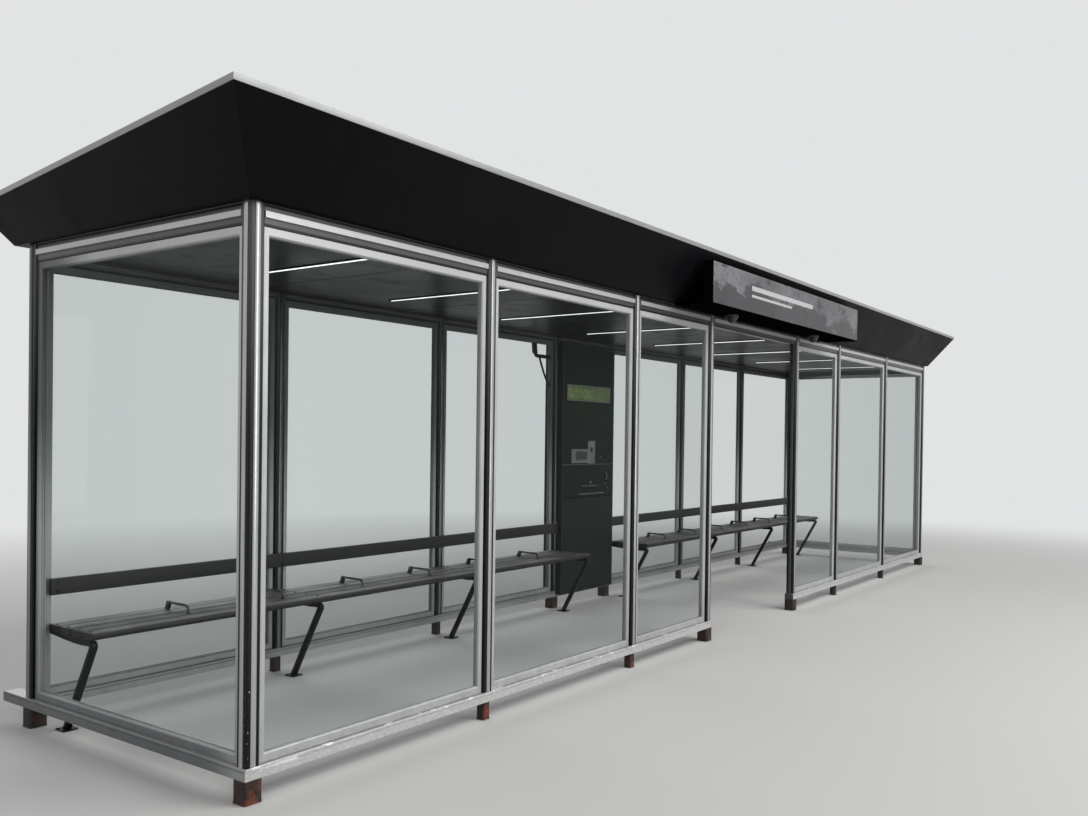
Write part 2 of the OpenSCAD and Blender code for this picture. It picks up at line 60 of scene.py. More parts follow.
# ---- shapes: each is an array of points and a list of faces
def gridFaces(rows, cols, wrapRows, wrapCols):
    # the four corners of every cell of a grid of points, wrapped round in one or both directions
    r = np.arange(rows if wrapRows else rows - 1)[:, None]
    c = np.arange(cols if wrapCols else cols - 1)[None, :]
    nextR, nextC = (r + 1) % rows, (c + 1) % cols
    quads = np.stack([r * cols + c, r * cols + nextC, nextR * cols + nextC, nextR * cols + c], -1)
    return quads.reshape(-1, 4).tolist()


def solid(loops, ease=0.0):
    # loops of points joined into a skin with a face over each end, which ease draws in by that much
    if ease:
        ends = []
        for loop, after in ((loops[0], loops[1]), (loops[-1], loops[-2])):
            inward = (after - loop).mean(0)
            centre, reach = (loop.max(0) + loop.min(0)) / 2, np.maximum((loop.max(0) - loop.min(0)) / 2, 1e-9)
            drawn = centre + (loop - centre) * np.where(reach > ease, 1 - ease / reach, 1)
            ends.append((drawn, loop + inward / np.linalg.norm(inward) * ease))
        loops = np.concatenate([[ends[0][0], ends[0][1]], loops[1:-1], [ends[1][1], ends[1][0]]])
    rows, cols = loops.shape[:2]
    faces = gridFaces(rows, cols, False, True) + [list(range(cols)), list(range((rows - 1) * cols, rows * cols))]
    return loops.reshape(-1, 3), faces


def flatLoop(outline, axis, level):
    # an outline in two axes, lifted to a level on the third
    return np.insert(np.asarray(outline, float), axis, level, axis=1)


def prism(outline, axis, low, high, ease=0.0):
    # an outline in the two other axes drawn straight along one axis
    return solid(np.stack([flatLoop(outline, axis, end) for end in (low, high)]), ease)


def rounded(lo, hi, r, steps=3):
    # a rectangle with a quarter circle at each corner, from the low corner round; r is one radius or four
    lo, hi, r = np.array(lo, float), np.array(hi, float), np.broadcast_to(r, 4).astype(float)
    sign = np.array([(-1, -1), (1, -1), (1, 1), (-1, 1)])
    turn = (np.array([2, 3, 0, 1]) * np.pi / 2)[:, None] + np.linspace(0, np.pi / 2, steps + 1)
    centre = (lo + hi) / 2 + sign * ((hi - lo) / 2 - r[:, None])
    ring = np.stack([np.cos(turn), np.sin(turn)], -1) * r[:, None, None]
    return (centre[:, None] + ring).reshape(-1, 2)


def arc(centre, radius, start, end, steps):
    # points round a centre in its plane, from one angle to another; radius is one number or one for each axis
    turn = np.linspace(start, end, steps)
    return centre + np.stack([np.cos(turn), np.sin(turn)], 1) * radius


def circle(r, steps=12):
    return arc((0, 0), r, 0, 2 * np.pi, steps + 1)[:-1]


def carried(section, path, lift):
    # a section (across, along lift) carried along a path: each loop lies in the plane that halves the bend there
    path, section, lift = (np.asarray(v, float) for v in (path, section, lift))
    ahead = np.diff(path, axis=0)
    side = np.cross(ahead / np.linalg.norm(ahead, axis=1)[:, None], lift)
    before, after = np.vstack([side[:1], side]), np.vstack([side, side[-1:]])
    mitre = (before + after) / (1 + (before * after).sum(1))[:, None]
    return path[:, None] + section[..., :1] * mitre[:, None] + section[..., 1:] * lift


def lathe(outline, centre=(0, 0, 0), axis=2, steps=24):
    # an outline (radius, height) turned round one axis through centre
    turn = np.arange(steps) * 2 * np.pi / steps
    radius, height = np.array(outline, float).T[..., None]
    flat = np.stack([radius * np.cos(turn), radius * np.sin(turn)], -1)
    return solid(np.insert(flat, axis, height + 0 * turn, axis=2) + np.asarray(centre, float))


def pictureFrame(lo, hi, member, section):
    # a section carried round an upright rectangle; a section point lies at share * member width + offset from the
    # outer edge, so that stiles and rails of different widths meet at one corner line
    share, offset, deep = np.array(section, float).T
    side, level = share * member[0] + offset, share * member[1] + offset
    u = np.array([lo[0] + side, hi[0] - side, hi[0] - side, lo[0] + side])
    v = np.array([lo[1] + level, lo[1] + level, hi[1] - level, hi[1] - level])
    points = np.stack([u, np.broadcast_to(deep, u.shape), v], -1)
    return points.reshape(-1, 3), gridFaces(4, len(deep), True, True)


def onWall(shape, wall):
    # a shape drawn as if on the front wall, taken to one of the four walls
    u, deep, z = shape[0].T
    turned = {"front": (u, deep, z), "back": (u, plan["depth"] - deep, z), "left": (deep, u, z),
              "right": (plan["length"] - deep, u, z)}[wall]
    return np.stack(turned, 1), shape[1]


def bothEnds(shapes):
    # the shapes and their mirror images at the other end of the shelter
    return shapes + [(p * (-1, 1, 1) + (plan["length"], 0, 0), f) for p, f in shapes]


def repeat(shapes, offsets):
    # every shape at every offset
    return [(points + np.asarray(offset, float), faces) for points, faces in shapes for offset in offsets]


def roofAt(y):
    return roof["top"] - roof["fall"] * (y + roof["out"])


def onRoof(shapes):
    # heights above the roof's plane turned into real heights
    return [(p + np.outer(roofAt(p[:, 1]), zAxis), f) for p, f in shapes]


def build(name, shapes, finish, stands=(), crease=32):
    form = bmesh.new()
    for points, faces in shapes:
        part = bpy.data.meshes.new("part")
        part.from_pydata((points + home).tolist(), [], faces)
        first = len(form.verts)
        form.from_mesh(part)
        form.verts.ensure_lookup_table()
        bmesh.ops.remove_doubles(form, verts=form.verts[first:], dist=1e-6)
        bpy.data.meshes.remove(part)
    bmesh.ops.recalc_face_normals(form, faces=form.faces)
    mesh = bpy.data.meshes.new(name)
    form.to_mesh(mesh)
    form.free()
    mesh.polygons.foreach_set("use_smooth", np.ones(len(mesh.polygons), bool))
    mesh.set_sharp_from_angle(angle=math.radians(crease))
    mesh.materials.append(finishes[finish])
    piece = bpy.data.objects.new(name, mesh)
    bpy.context.collection.objects.link(piece)
    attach(piece, "root")
    if stands:
        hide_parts(*stands)


# ---- small helpers for shader trees
class Wire:
    # an output of a shader node: wires add, subtract and multiply like numbers, each time in a new Math node
    def __init__(self, socket):
        self.socket, self.tree = socket, socket.id_data

    def __add__(self, other):
        return reckon("ADD", self, other)

    def __radd__(self, other):
        return reckon("ADD", other, self)

    def __sub__(self, other):
        return reckon("SUBTRACT", self, other)

    def __rsub__(self, other):
        return reckon("SUBTRACT", other, self)

    def __mul__(self, other):
        return reckon("MULTIPLY", self, other)


def feed(made, inputs):
    # each input is linked to a wire, or set to a plain value
    for key, value in inputs.items():
        if isinstance(value, Wire):
            value.tree.links.new(value.socket, made.inputs[key])
        else:
            made.inputs[key].default_value = value


def put(tree, kind, inputs=None, output=0, **settings):
    made = tree.nodes.new("ShaderNode" + kind)
    for key, value in settings.items():
        setattr(made, key, value)
    feed(made, inputs or {})
    return Wire(made.outputs[output])


def reckon(operation, first, second=0.0):
    tree = (first if isinstance(first, Wire) else second).tree
    return put(tree, "Math", {0: first, 1: second}, operation=operation)


def blend(share, first, second):
    return put(share.tree, "Mix", {0: share, 6: first, 7: second}, 2, data_type="RGBA")


def ramp(wire, low, high, outLow=0.0, outHigh=1.0):
    values = {"Value": wire, "From Min": low, "From Max": high, "To Min": outLow, "To Max": outHigh}
    return put(wire.tree, "MapRange", values, interpolation_type="SMOOTHSTEP")


def above(wire, level, soft):
    return ramp(wire, level - soft, level + soft)


def below(wire, level, soft):
    return ramp(wire, level + soft, level - soft)


def window(wire, low, high, soft=0.001):
    # 1 between low and high, 0 outside them
    return above(wire, low, soft) * below(wire, high, soft)


def grain(where, scale, detail, stretch=(1, 1, 1), rough=0.55):
    mapped = put(where.tree, "Mapping", {"Scale": stretch, "Vector": where})
    return put(where.tree, "TexNoise", {"Scale": scale, "Detail": detail, "Roughness": rough, "Vector": mapped})


def along(where, axis):
    return put(where.tree, "SeparateXYZ", {0: where}, axis)


def axes(where):
    return [along(where, axis) for axis in range(3)]


def facing(where, axis):
    # how far the surface faces along one axis
    return along(put(where.tree, "NewGeometry", output="Normal"), axis)


def relief(shader, height, distance, strength):
    feed(shader, {"Normal": put(height.tree, "Bump", {"Strength": strength, "Distance": distance, "Height": height})})


def tone(*rgb):
    # a colour read in 0..255 display values, as linear light; one value alone is a grey
    parts = [c / 255 for c in (rgb * 3)[:3]]
    return tuple(p / 12.92 if p <= 0.04045 else ((p + 0.055) / 1.055) ** 2.4 for p in parts) + (1.0,)


def startMaterial(name):
    mat = bpy.data.materials.new(name)
    mat.use_nodes = True
    return mat, mat.node_tree.nodes["Principled BSDF"], put(mat.node_tree, "TexCoord", output="Object")


def laid(colour, *coats):
    # each coat (share, tone) laid over the colour in turn; one without a share takes the colour's place
    for share, over in coats:
        colour = blend(share, colour, over) if share else over
    return colour


def marked(look, where, colour):
    # the colour with the coats of the finish's own marks on it
    return laid(colour, *[coat for mark in look.get("marks", ()) for coat in mark(where)])


# ---- finishes: each maker fills the tree of one material from its look
def bareMetal(shader, where, look):
    # satin aluminium: faint cloudiness, hair-fine brush lines, thin rain streaks, dust that thickens near the ground
    brush, smear = grain(where, 240, 3, look["brush"]), grain(where, 16, 4)
    dusty = ramp(smear + grain(where, 190, 3), 0.85, 1.25)
    splash = ramp(along(where, 2), look["dirtTop"], 0.1) * dusty * look["splash"]
    colour = laid(look["dark"], (ramp(grain(where, 1.7, 3), 0.3, 0.7), look["light"]),
                  (ramp(brush, 0.35, 0.7, 0, look["brushed"]), look["glint"]),
                  (ramp(grain(where, 11, 5, (1, 1, 0.06)), 0.55, 0.75, 0, look["streaks"]), look["dirt"]),
                  (splash, look["dirt"]))
    rough = ramp(smear, 0.3, 0.7, look["rough"], look["rough"] + 0.05)
    feed(shader, {"Base Color": marked(look, where, colour), "Metallic": look["metallic"],
                  "Roughness": rough + splash * 0.2})
    relief(shader, brush, 0.00002, 0.2)


def paint(shader, where, look):
    # powder coat: orange-peel skin, broad uneven sheen, dust that gathers in streaks
    cloud, speck = grain(where, 1.1, 4), grain(where, look["speckSize"], 3)
    dust = ramp(grain(where, 6, 5, look["streakWay"]), 0.5, 0.75) * ramp(speck, 0.35, 0.7)
    colour = laid(look["dark"], (ramp(cloud, 0.3, 0.7), look["light"]), (dust * look["dust"], look["dustTone"]))
    rough = ramp(cloud, 0.25, 0.75, look["rough"] - 0.05, look["rough"] + 0.06)
    feed(shader, {"Base Color": marked(look, where, colour), "Metallic": look["metallic"],
                  "Specular IOR Level": look["specular"], "Roughness": rough + dust * 0.25})
    relief(shader, grain(where, 480, 2) + speck * 0.6, look["skin"], 0.2)


def rust(shader, where, look):
    # primer long gone over rust: flaking cells, black pits, an orange bloom low on the faces; painted shade on the
    # left faces and on the feet at the back and the right
    x, y, z = axes(where)
    flake = put(where.tree, "TexVoronoi", {"Scale": 38, "Vector": where}, "Distance")
    pit, bloom = grain(where, 75, 6, rough=0.7), grain(where, 16, 4)
    scratch = ramp(grain(where, 60, 4, (1, 1, 0.25)), 0.6, 0.72) * ramp(z, 0.05, 0.075) * 0.5
    hot = ramp(pit, 0.38, 0.55) * ramp(bloom, 0.44, 0.56) * ramp(z, 0.08, 0.045, 0.15, 1)
    shadeBeyond = reckon("MAXIMUM", ramp(y, -0.4, 0.4), ramp(x, -1.2, 0.2)) * 0.8
    # the last two coats are painted shade: black on the left faces, the shaded tone on the feet at the back and the
    # right
    colour = laid(look["dark"], (ramp(bloom, 0.36, 0.52), look["red"]), (scratch, look["pale"]),
                  (hot, look["orange"]), (ramp(flake, 0.28, 0.1, 0, 0.7), look["black"]),
                  (ramp(facing(where, 0), -0.3, -0.8, 0, 0.75), look["black"]), (shadeBeyond, look["shaded"]))
    feed(shader, {"Base Color": colour, "Roughness": ramp(pit, 0.3, 0.7, 0.5, 0.9)})
    relief(shader, pit + flake, 0.0012, 0.7)


def timber(shader, where, look):
    # dark stained planks: long grain along the bench, pores, and tops worn greyer
    rings, pores = grain(where, 34, 6, (0.05, 1, 1), 0.65), grain(where, 420, 3, (0.03, 1, 1))
    wear = ramp(facing(where, 2), 0.5, 0.95) * ramp(grain(where, 2.6, 4), 0.35, 0.65, 0.25, 0.8) * look["wear"]
    colour = laid(look["dark"], (ramp(rings, 0.36, 0.64), look["light"]),
                  (ramp(pores, 0.55, 0.7, 0, 0.5), look["pore"]), (wear, look["worn"]))
    feed(shader, {"Base Color": colour, "Roughness": ramp(rings, 0.3, 0.7, *look["rough"])})
    relief(shader, rings + pores, 0.0005, 0.5)


def windowGlass(shader, where, look):
    # a clear pane: rays go straight through it, its outer side mirrors by Fresnel, and a thin film greys it a little
    tree = where.tree
    tree.nodes.remove(shader)
    clear = put(tree, "BsdfTransparent", {"Color": look["tint"]})
    mirror = put(tree, "BsdfGlossy", {"Color": look["mirror"], "Roughness": 0.02})
    outer = 1.0 - put(tree, "NewGeometry", output="Backfacing")
    pane = put(tree, "MixShader", {0: put(tree, "Fresnel", {"IOR": look["ior"]}) * outer, 1: clear, 2: mirror})
    wipe, drops = grain(where, 2.2, 5, (1, 1, 0.35)), grain(where, 60, 4, (1, 1, 0.5))
    film = ramp(wipe, 0.45, 0.75) * ramp(drops, 0.4, 0.7, 0.3, 1) * look["film"]
    low = ramp(along(where, 2), 0.6, 0.18) * ramp(drops, 0.35, 0.7, 0.15, 1) * look["splash"]
    dull = put(tree, "BsdfDiffuse", {"Color": look["grime"]})
    dirty = put(tree, "MixShader", {0: (film + low) * outer, 1: pane, 2: dull})
    feed(tree.nodes["Material Output"], {"Surface": dirty})


def glowing(shader, where, look):
    # lit plastic: a mottled cover that gives off its own colour
    colour = marked(look, where, blend(ramp(grain(where, 9, 3), 0.3, 0.7), look["low"], look["high"]))
    feed(shader, {"Base Color": colour, "Emission Color": colour, "Emission Strength": look["glow"],
                  "Roughness": 0.35})


def rubber(shader, where, look):
    # gasket rubber: satin black, with a painted reflection that greys it high up, and pale scuffs
    cloud, scuff = grain(where, 5, 4, (1, 1, 0.3)), grain(where, 90, 5, (1, 1, 0.25))
    colour = laid(look["dark"], (ramp(cloud, 0.35, 0.65), look["light"]),
                  # fade is a painted reflection: the rubber is lighter towards the top
                  (ramp(along(where, 2), 1.5, 2.5, 0, look["faded"]), look["fade"]),
                  (ramp(scuff, 0.68, 0.76, 0, look["scuffed"]), look["scuff"]))
    feed(shader, {"Base Color": marked(look, where, colour), "Roughness": ramp(cloud, 0.3, 0.7, 0.32, 0.46),
                  "Specular IOR Level": 0.22})
    relief(shader, scuff, 0.0002, 0.35)


# ---- marks: each gives coats, as the share of the colour that a coat takes and its tone
def paintedShadeLowOnEnds(where):
    # painted shade: the outer faces of the two end walls darken towards the ground
    x, y, z = axes(where)
    outward = facing(where, 0) * reckon("SIGN", x)
    share = ramp(outward, 0.5, 0.9) * ramp(z, 1.7, 0.3) * ramp(y, home[1], home[1] + 0.3, 0.2, 0.72)
    return [(share, tone(66, 71, 78))]


def shadeHighAtBack(where):
    # the room side of the back wall darkens towards the ceiling
    x, y, z = axes(where)
    return [(ramp(facing(where, 1), 0.6, 0.2) * ramp(y, 0.3, 0.8) * ramp(z, 0.9, 1.75) * 0.85, tone(52, 56, 56))]


def darkJamb(where):
    # faces that look into the doorway from its right side stand in shade
    x, y, z = axes(where)
    share = ramp(facing(where, 0), -0.6, -0.9) * window(x, 0.6, 1.4, 0.05) * ramp(y, 0, -0.2) * 0.88
    return [(share, tone(34, 36, 38))]


def paintedShadeAtBack(where):
    # painted shade: posts of the back wall are painted darker than those at the front
    return [(ramp(along(where, 1), 0.3, 0.8, 0, 0.55), tone(58, 59, 60))]


# heights from the ground, places from the left corner; groove is the band of painted shade; the scrape's half
# thickness grows from thin by widen
railWear = dict(groove=(0.138, 0.1412), chips=(0.143, 0.16), scrapeX=(0.07, 0.26), past=0.002, scrapeZ=0.139,
                thin=0.0022, widen=0.0062, wander=0.02, ragged=0.018)


def grooveShadeAndSpecks(where):
    # painted shade in the groove, and a speckled and chipped front
    (x, y, z), front = axes(where), home[1]
    nearFront = ramp(y, front + 0.06, front + 0.02)
    fleck = ramp(grain(where, 70, 5, (0.5, 1, 1.5)), 0.35, 0.75, 0.4, 0.85)
    chip = ramp(grain(where, 21, 2, (0.7, 1, 1.8)), 0.62, 0.64) * window(z, *railWear["chips"], 0.002)
    groove = window(z, *railWear["groove"], 0.0004) * ramp(y, front - 0.0038, front + 0.01, 0, 0.85)
    return [(groove, tone(46, 47, 48)),
            (ramp(facing(where, 1), -0.3, -0.8) * nearFront * fleck, tone(226, 227, 225)),
            (chip * nearFront, tone(245, 245, 243))]


def railScrapes(where):
    # a ragged pale scrape near the left corner that widens to the right, and a few faint hairlines
    (x, y, z), wear, front = axes(where), railWear, home[1]
    start, end = home[0] + np.array(wear["scrapeX"])
    line = wear["scrapeZ"] + (grain(where, 55, 3, (1, 0, 0)) - 0.5) * wear["wander"]
    inside = wear["thin"] + ramp(x, start, end) * wear["widen"] - reckon("ABSOLUTE", z - line)
    ragged = inside + (grain(where, 100, 3) - 0.5) * wear["ragged"]
    scrape = ramp(ragged, 0.0, 0.0006) * window(x, start, end + wear["past"]) * ramp(y, front + 0.002, front)
    hairs = ramp(grain(where, 60, 2, (0.12, 1, 6)), 0.69, 0.72) * ramp(grain(where, 1.6, 2), 0.52, 0.62) * 0.35
    return [(reckon("MAXIMUM", scrape, hairs), tone(240, 240, 238))]


# heights of the lines between the head rail's seal, grooves, light fin and the gap under the fascia; the grooves and
# the gap take painted shade
headLines = dict(seal=2.4651, finLow=2.4909, finTop=2.5181, gap=2.537)


def headBands(where):
    # painted shade in the grooves above and below the light fin, a painted black shadow in the gap under the fascia,
    # and a black seal over the frames
    z = along(where, 2)
    grooves = above(z, headLines["finTop"], 0.0003) + below(z, headLines["finLow"], 0.0003)
    return [(grooves, tone(78, 78, 77)), (above(z, headLines["gap"], 0.0008), tone(4)),
            (below(z, headLines["seal"], 0.0003), tone(18, 18, 19))]


def dustyFoot(where):
    # the front gasket's lowest run, just over the rail, is pale with dust
    x, y, z = axes(where)
    return [(ramp(z, 0.166, 0.16) * ramp(y, 0, -0.2) * 0.85, tone(176, 177, 176))]


def paintSpecks(where):
    # white paint flecks low on the corner that faces the viewer
    x, y, z = axes(where)
    near = below(x, home[0] + 0.02, 0.002) * below(y, home[1] + 0.028, 0.002) * ramp(z, 0.62, 0.45)
    return [(near * ramp(grain(where, 95, 3, (1, 1, 0.6)), 0.67, 0.7), tone(205, 208, 208))]


def paintedSoffitShade(where):
    # painted shade: the fascia's underside and lowest edge, painted near black
    return [(below(along(where, 2), 2.555, 0.0015), tone(2, 2, 3))]


# two plain bars on the sign's print, each as heights and places along the sign
signBars = [((2.702, 2.738), (-0.85, 0.35)), ((2.652, 2.672), (-0.85, -0.1))]


def printedDrifts(where):
    # the sign's print: mottled grey with dark drifts that thicken towards the lower edge, and two plain lighter bars
    x, y, z = axes(where)
    drift = grain(where, 3.4, 7, (1, 1, 1.5), 0.65) + ramp(z, 2.81, 2.56, 0, 0.2)
    upper, lower = (window(z, *high, 0.002) * window(x, *wide, 0.002) for high, wide in signBars)
    return [(None, blend(ramp(grain(where, 1.3, 3), 0.35, 0.65), tone(82, 83, 85), tone(112, 113, 115))),
            (ramp(grain(where, 34, 5), 0.48, 0.6, 0, 0.5), tone(60, 61, 63)),
            (ramp(drift, 0.565, 0.6) * 0.85, tone(30, 31, 33)), ((upper + lower) * 0.8, tone(196, 197, 198))]


def lowPanelAndPaintedGlow(where):
    # a painted glow from the lit display on the glossy panel under it, and the lowest panel is a tone lighter
    z = along(where, 2)
    paintedGlow = window(z, 1.76, 1.9, 0.06) * ramp(grain(where, 5, 3), 0.3, 0.6) * 0.7
    return [(ramp(z, 1.02, 1.0, 0, 0.6), tone(33, 41, 40)), (paintedGlow, tone(28, 50, 24))]


def displayMarks(where):
    # blurred dark marks on a yellow-green display, with painted shade towards the right, and darker towards its upper
    # and lower edges
    x, y, z = axes(where)
    edges = reckon("MAXIMUM", ramp(z, 2.01, 2.05, 0, 0.6), ramp(z, 1.955, 1.925, 0, 0.6))
    mark = ramp(grain(where, 42, 2, (1, 1, 0.5)), 0.5, 0.6) * window(z, 1.945, 2.03, 0.004) * 0.6
    return [(reckon("MAXIMUM", ramp(x, -0.12, 0.12, 0, 0.5), edges), tone(34, 48, 22)), (mark, tone(58, 76, 42))]


# ---- looks: the finishes of one maker share a look, and each row says what its finish changes
finishes = {}


def finishSet(make, shared, **rows):
    for name, look in rows.items():
        finishes[name], shader, where = startMaterial(name)
        make(shader, where, {**shared, **look})


finishSet(
    bareMetal,
    dict(dark=tone(176, 177, 177), light=tone(190, 191, 191), glint=tone(206, 207, 207), dirt=tone(118, 115, 110),
         brush=(0.02, 1, 1), brushed=0.25, streaks=0.14, dirtTop=0.5, splash=0.3, metallic=0.4, rough=0.3),
    postAluminium=dict(dark=tone(166, 167, 168), light=tone(178, 179, 180), brush=(1, 1, 0.02), metallic=0.55,
                       rough=0.2, streaks=0.06, splash=0.15, marks=[paintedShadeAtBack, shadeHighAtBack, darkJamb]),
    frameAluminium=dict(brush=(1, 1, 1), brushed=0.15, metallic=0.3, rough=0.4,
                        marks=[paintedShadeLowOnEnds, shadeHighAtBack]),
    railAluminium=dict(dark=tone(164, 165, 165), light=tone(180, 181, 181), splash=0.25, dirtTop=0.22,
                       marks=[grooveShadeAndSpecks, paintedShadeLowOnEnds, darkJamb, railScrapes]),
    headAluminium=dict(marks=[headBands]),
    trimAluminium=dict(dark=tone(132, 133, 134), light=tone(146, 147, 148), streaks=0.2, glint=tone(162, 163, 163),
                       metallic=0.25),
    kioskSteel=dict(dark=tone(96, 98, 98), light=tone(112, 114, 114), brush=(1, 1, 0.02), dirtTop=0.12))
# fade and faded: the tone and share of the painted reflection high up on the rubber
finishSet(
    rubber, dict(faded=0.5),
    stripRubber=dict(dark=tone(9, 11, 15), light=tone(16, 18, 23), scuff=tone(120, 122, 120), scuffed=0.25,
                     fade=tone(88, 89, 90), faded=0.75, marks=[paintSpecks]),
    sealRubber=dict(dark=tone(17, 18, 18), light=tone(26, 27, 27), scuff=tone(60, 60, 58), scuffed=0.1,
                    fade=tone(34, 34, 35), marks=[dustyFoot]),
    # light-grey seals: partly their own colour, partly a painted highlight along the edges of the glass
    greySeal=dict(dark=tone(138, 139, 139), light=tone(156, 157, 157), scuff=tone(176, 176, 174), scuffed=0.15,
                  fade=tone(128, 129, 130), marks=[shadeHighAtBack]))
finishSet(
    paint,
    dict(dust=0.2, dustTone=tone(88, 86, 82), rough=0.42, streakWay=(1, 1, 0.12), speckSize=110, metallic=0.0,
         specular=0.5, skin=0.00003),
    fasciaPaint=dict(dark=tone(14, 14, 17), light=tone(19, 19, 22), dust=0.04, specular=0.05, rough=0.46,
                     marks=[paintedSoffitShade]),
    signPaint=dict(dark=tone(7, 7, 8), light=tone(11, 11, 12), dust=0.03, specular=0.0),
    signPrint=dict(dark=tone(26, 26, 28), light=tone(33, 33, 35), dust=0.1, rough=0.3, marks=[printedDrifts]),
    ceilingPaint=dict(dark=tone(19), light=tone(26, 26, 25), rough=0.36, dust=0.04, streakWay=(1, 1, 1),
                      specular=0.035),
    roofSheet=dict(dark=tone(132, 134, 134), light=tone(158, 160, 160), dust=0.6, dustTone=tone(92, 88, 80),
                   rough=0.5, metallic=0.3, streakWay=(1, 0.12, 1)),
    roofSteel=dict(dark=tone(92, 94, 96), light=tone(110, 112, 113)),
    benchSteel=dict(dark=tone(8, 8, 9), light=tone(15, 14, 13), dust=0.05, specular=0.2),
    armSteel=dict(dark=tone(18), light=tone(28, 28, 27), rough=0.24, specular=0.9, dust=0.05),
    cameraShell=dict(dark=tone(42, 43, 43), light=tone(52, 53, 52), dust=0.1, specular=0.3),
    cameraGloss=dict(dark=tone(14, 14, 16), light=tone(20, 20, 22), rough=0.12, dust=0.08, skin=0.00001),
    kioskPaint=dict(dark=tone(26, 31, 30), light=tone(36, 41, 40), dust=0.06, specular=0.2, skin=0.00001,
                    speckSize=30),
    kioskGloss=dict(dark=tone(15, 24, 21), light=tone(21, 31, 28), rough=0.4, dust=0.03, specular=0.12,
                    skin=0.000002, speckSize=26, marks=[lowPanelAndPaintedGlow]))
finishSet(
    glowing, {},
    kioskDisplay=dict(low=tone(96, 112, 62), high=tone(124, 142, 80), glow=0.2, marks=[displayMarks]),
    lampOpal=dict(low=tone(232, 235, 240), high=tone(248, 250, 253), glow=1.4))
finishSet(rust, {}, footRust=dict(
    dark=tone(30, 20, 15), red=tone(68, 36, 26), orange=tone(124, 56, 27), pale=tone(128, 112, 100),
    black=tone(20, 16, 15), shaded=tone(30, 27, 26)))
finishSet(timber, {}, benchTimber=dict(
    dark=tone(12, 11, 10), light=tone(27, 25, 22), pore=tone(8, 8, 7), worn=tone(122, 121, 115), wear=0.95,
    rough=(0.47, 0.65)))
finishSet(windowGlass, {}, paneGlass=dict(
    tint=(0.94, 0.955, 0.95, 1), mirror=(0.17, 0.18, 0.18, 1), ior=1.5, grime=tone(120, 122, 120), film=0.008,
    splash=0.03))

dressing = {
    "headAluminium": ["head_rail_front", "head_rail_back", "head_rail_ends"],
    "fasciaPaint": ["fascia_front", "fascia_back", "fascia_left", "fascia_right"],
    "signPaint": ["sign_box"],
    "ceilingPaint": ["ceiling"],
    "roofSheet": ["roof_deck"],
    "roofSteel": ["roof_beams"],
    "kioskPaint": ["kiosk_body"],
    "paneGlass": ["glass_front", "glass_back", "glass_ends"],
}
for finish, names in dressing.items():
    for name in names:
        nodes[name].data.materials.clear()
        nodes[name].data.materials.append(finishes[finish])
print("finishes on", sum(len(v) for v in dressing.values()), "nodes")

# ---- posts: a crowned rib on each face, and black strips round the four corners between them
post = dict(rib=0.013, crown=0.0392, bow=0.0016, shoulder=0.0012, core=0.031, cut=0.004)
strip = dict(rim=0.0335, bend=0.008, slack=0.0005, ease=0.0006)
rib, core, cut = post["rib"], post["core"], post["cut"]
t = np.linspace(1, -1, 9)
ribFace = np.stack([rib * t, post["crown"] - post["bow"] * t ** 2 - post["shoulder"] * t ** 8], 1)
quarter = np.vstack([[(rib, core)], ribFace, [(-rib, core), (cut - core, core), (-core, core - cut)]])
turns = [np.array([(c, s), (-s, c)]) for c, s in ((1, 0), (0, 1), (-1, 0), (0, -1))]
postOutline = np.vstack([quarter @ turn for turn in turns])
edge, rim, ease = rib + strip["slack"], strip["rim"], strip["ease"]
stripOutline = np.vstack([
    [(edge, core), (edge, rim - ease), (edge + ease, rim)], arc(rim - strip["bend"], strip["bend"], np.pi / 2, 0, 6),
    [(rim, edge + ease), (rim - ease, edge), (core, edge), (core, core - cut), (core - cut, core)]])
postRows = {
    "cornerPosts": ("corner_posts", ("front", "back"), (0, 7)),
    "frontPostsLeft": ("front_posts_left", ("front",), (1, 2)),
    "doorwayPosts": ("doorway_posts", ("front",), (3, 4)),
    "frontPostsRight": ("front_posts_right", ("front",), (5, 6)),
    "backPostsLeft": ("back_posts_left", ("back",), (1, 2)),
    "kioskPosts": ("kiosk_posts", ("back",), (3, 4)),
    "backPostsRight": ("back_posts_right", ("back",), (5, 6)),
}
low, top = plan["railTop"], plan["eave"]
onePost = [prism(postOutline, 2, low, top)]
fourStrips = [prism(stripOutline @ turn, 2, low + strip["slack"], top - strip["slack"]) for turn in turns]
strips = []
for name, (node, walls, row) in postRows.items():
    spots = [(plan[wall][k], wallY[wall], 0) for k in row for wall in walls]
    build(name, repeat(onePost, spots), "postAluminium", [node])
    strips += repeat(fourStrips, spots)
build("postStrips", strips, "stripRubber", ["post_strips"])
print("posts and strips done")

# ---- glazing frames: a flat face with eased edges and a return down to the glass, and the same behind it; a section
# point is (share of the member's width, offset, depth from the post's face)
glazing = dict(member=(0.032, 0.042),
               frame=[(0, 0.002, 0.0192), (0, 0.0032, 0.018), (1, -0.0062, 0.018), (1, -0.0056, 0.0186),
                      (1, -0.0012, 0.0226), (1, 0, 0.024), (1, 0, 0.0328), (1, -0.001, 0.0332)],
               gasket=[(0, 0.0001, 0.0206), (0, 0.001, 0.0198), (0, 0.0019, 0.0206)],
               seal=[(1, -0.0002, 0.0304), (1, 0.0012, 0.0298), (1, 0.0022, 0.0306), (1, 0.0022, 0.0328),
                     (1, -0.0002, 0.0328)])


def behind(section):
    # the same points on the room side of the glass, in reverse
    return [(share, offset, 2 * half - deep) for share, offset, deep in section[::-1]]


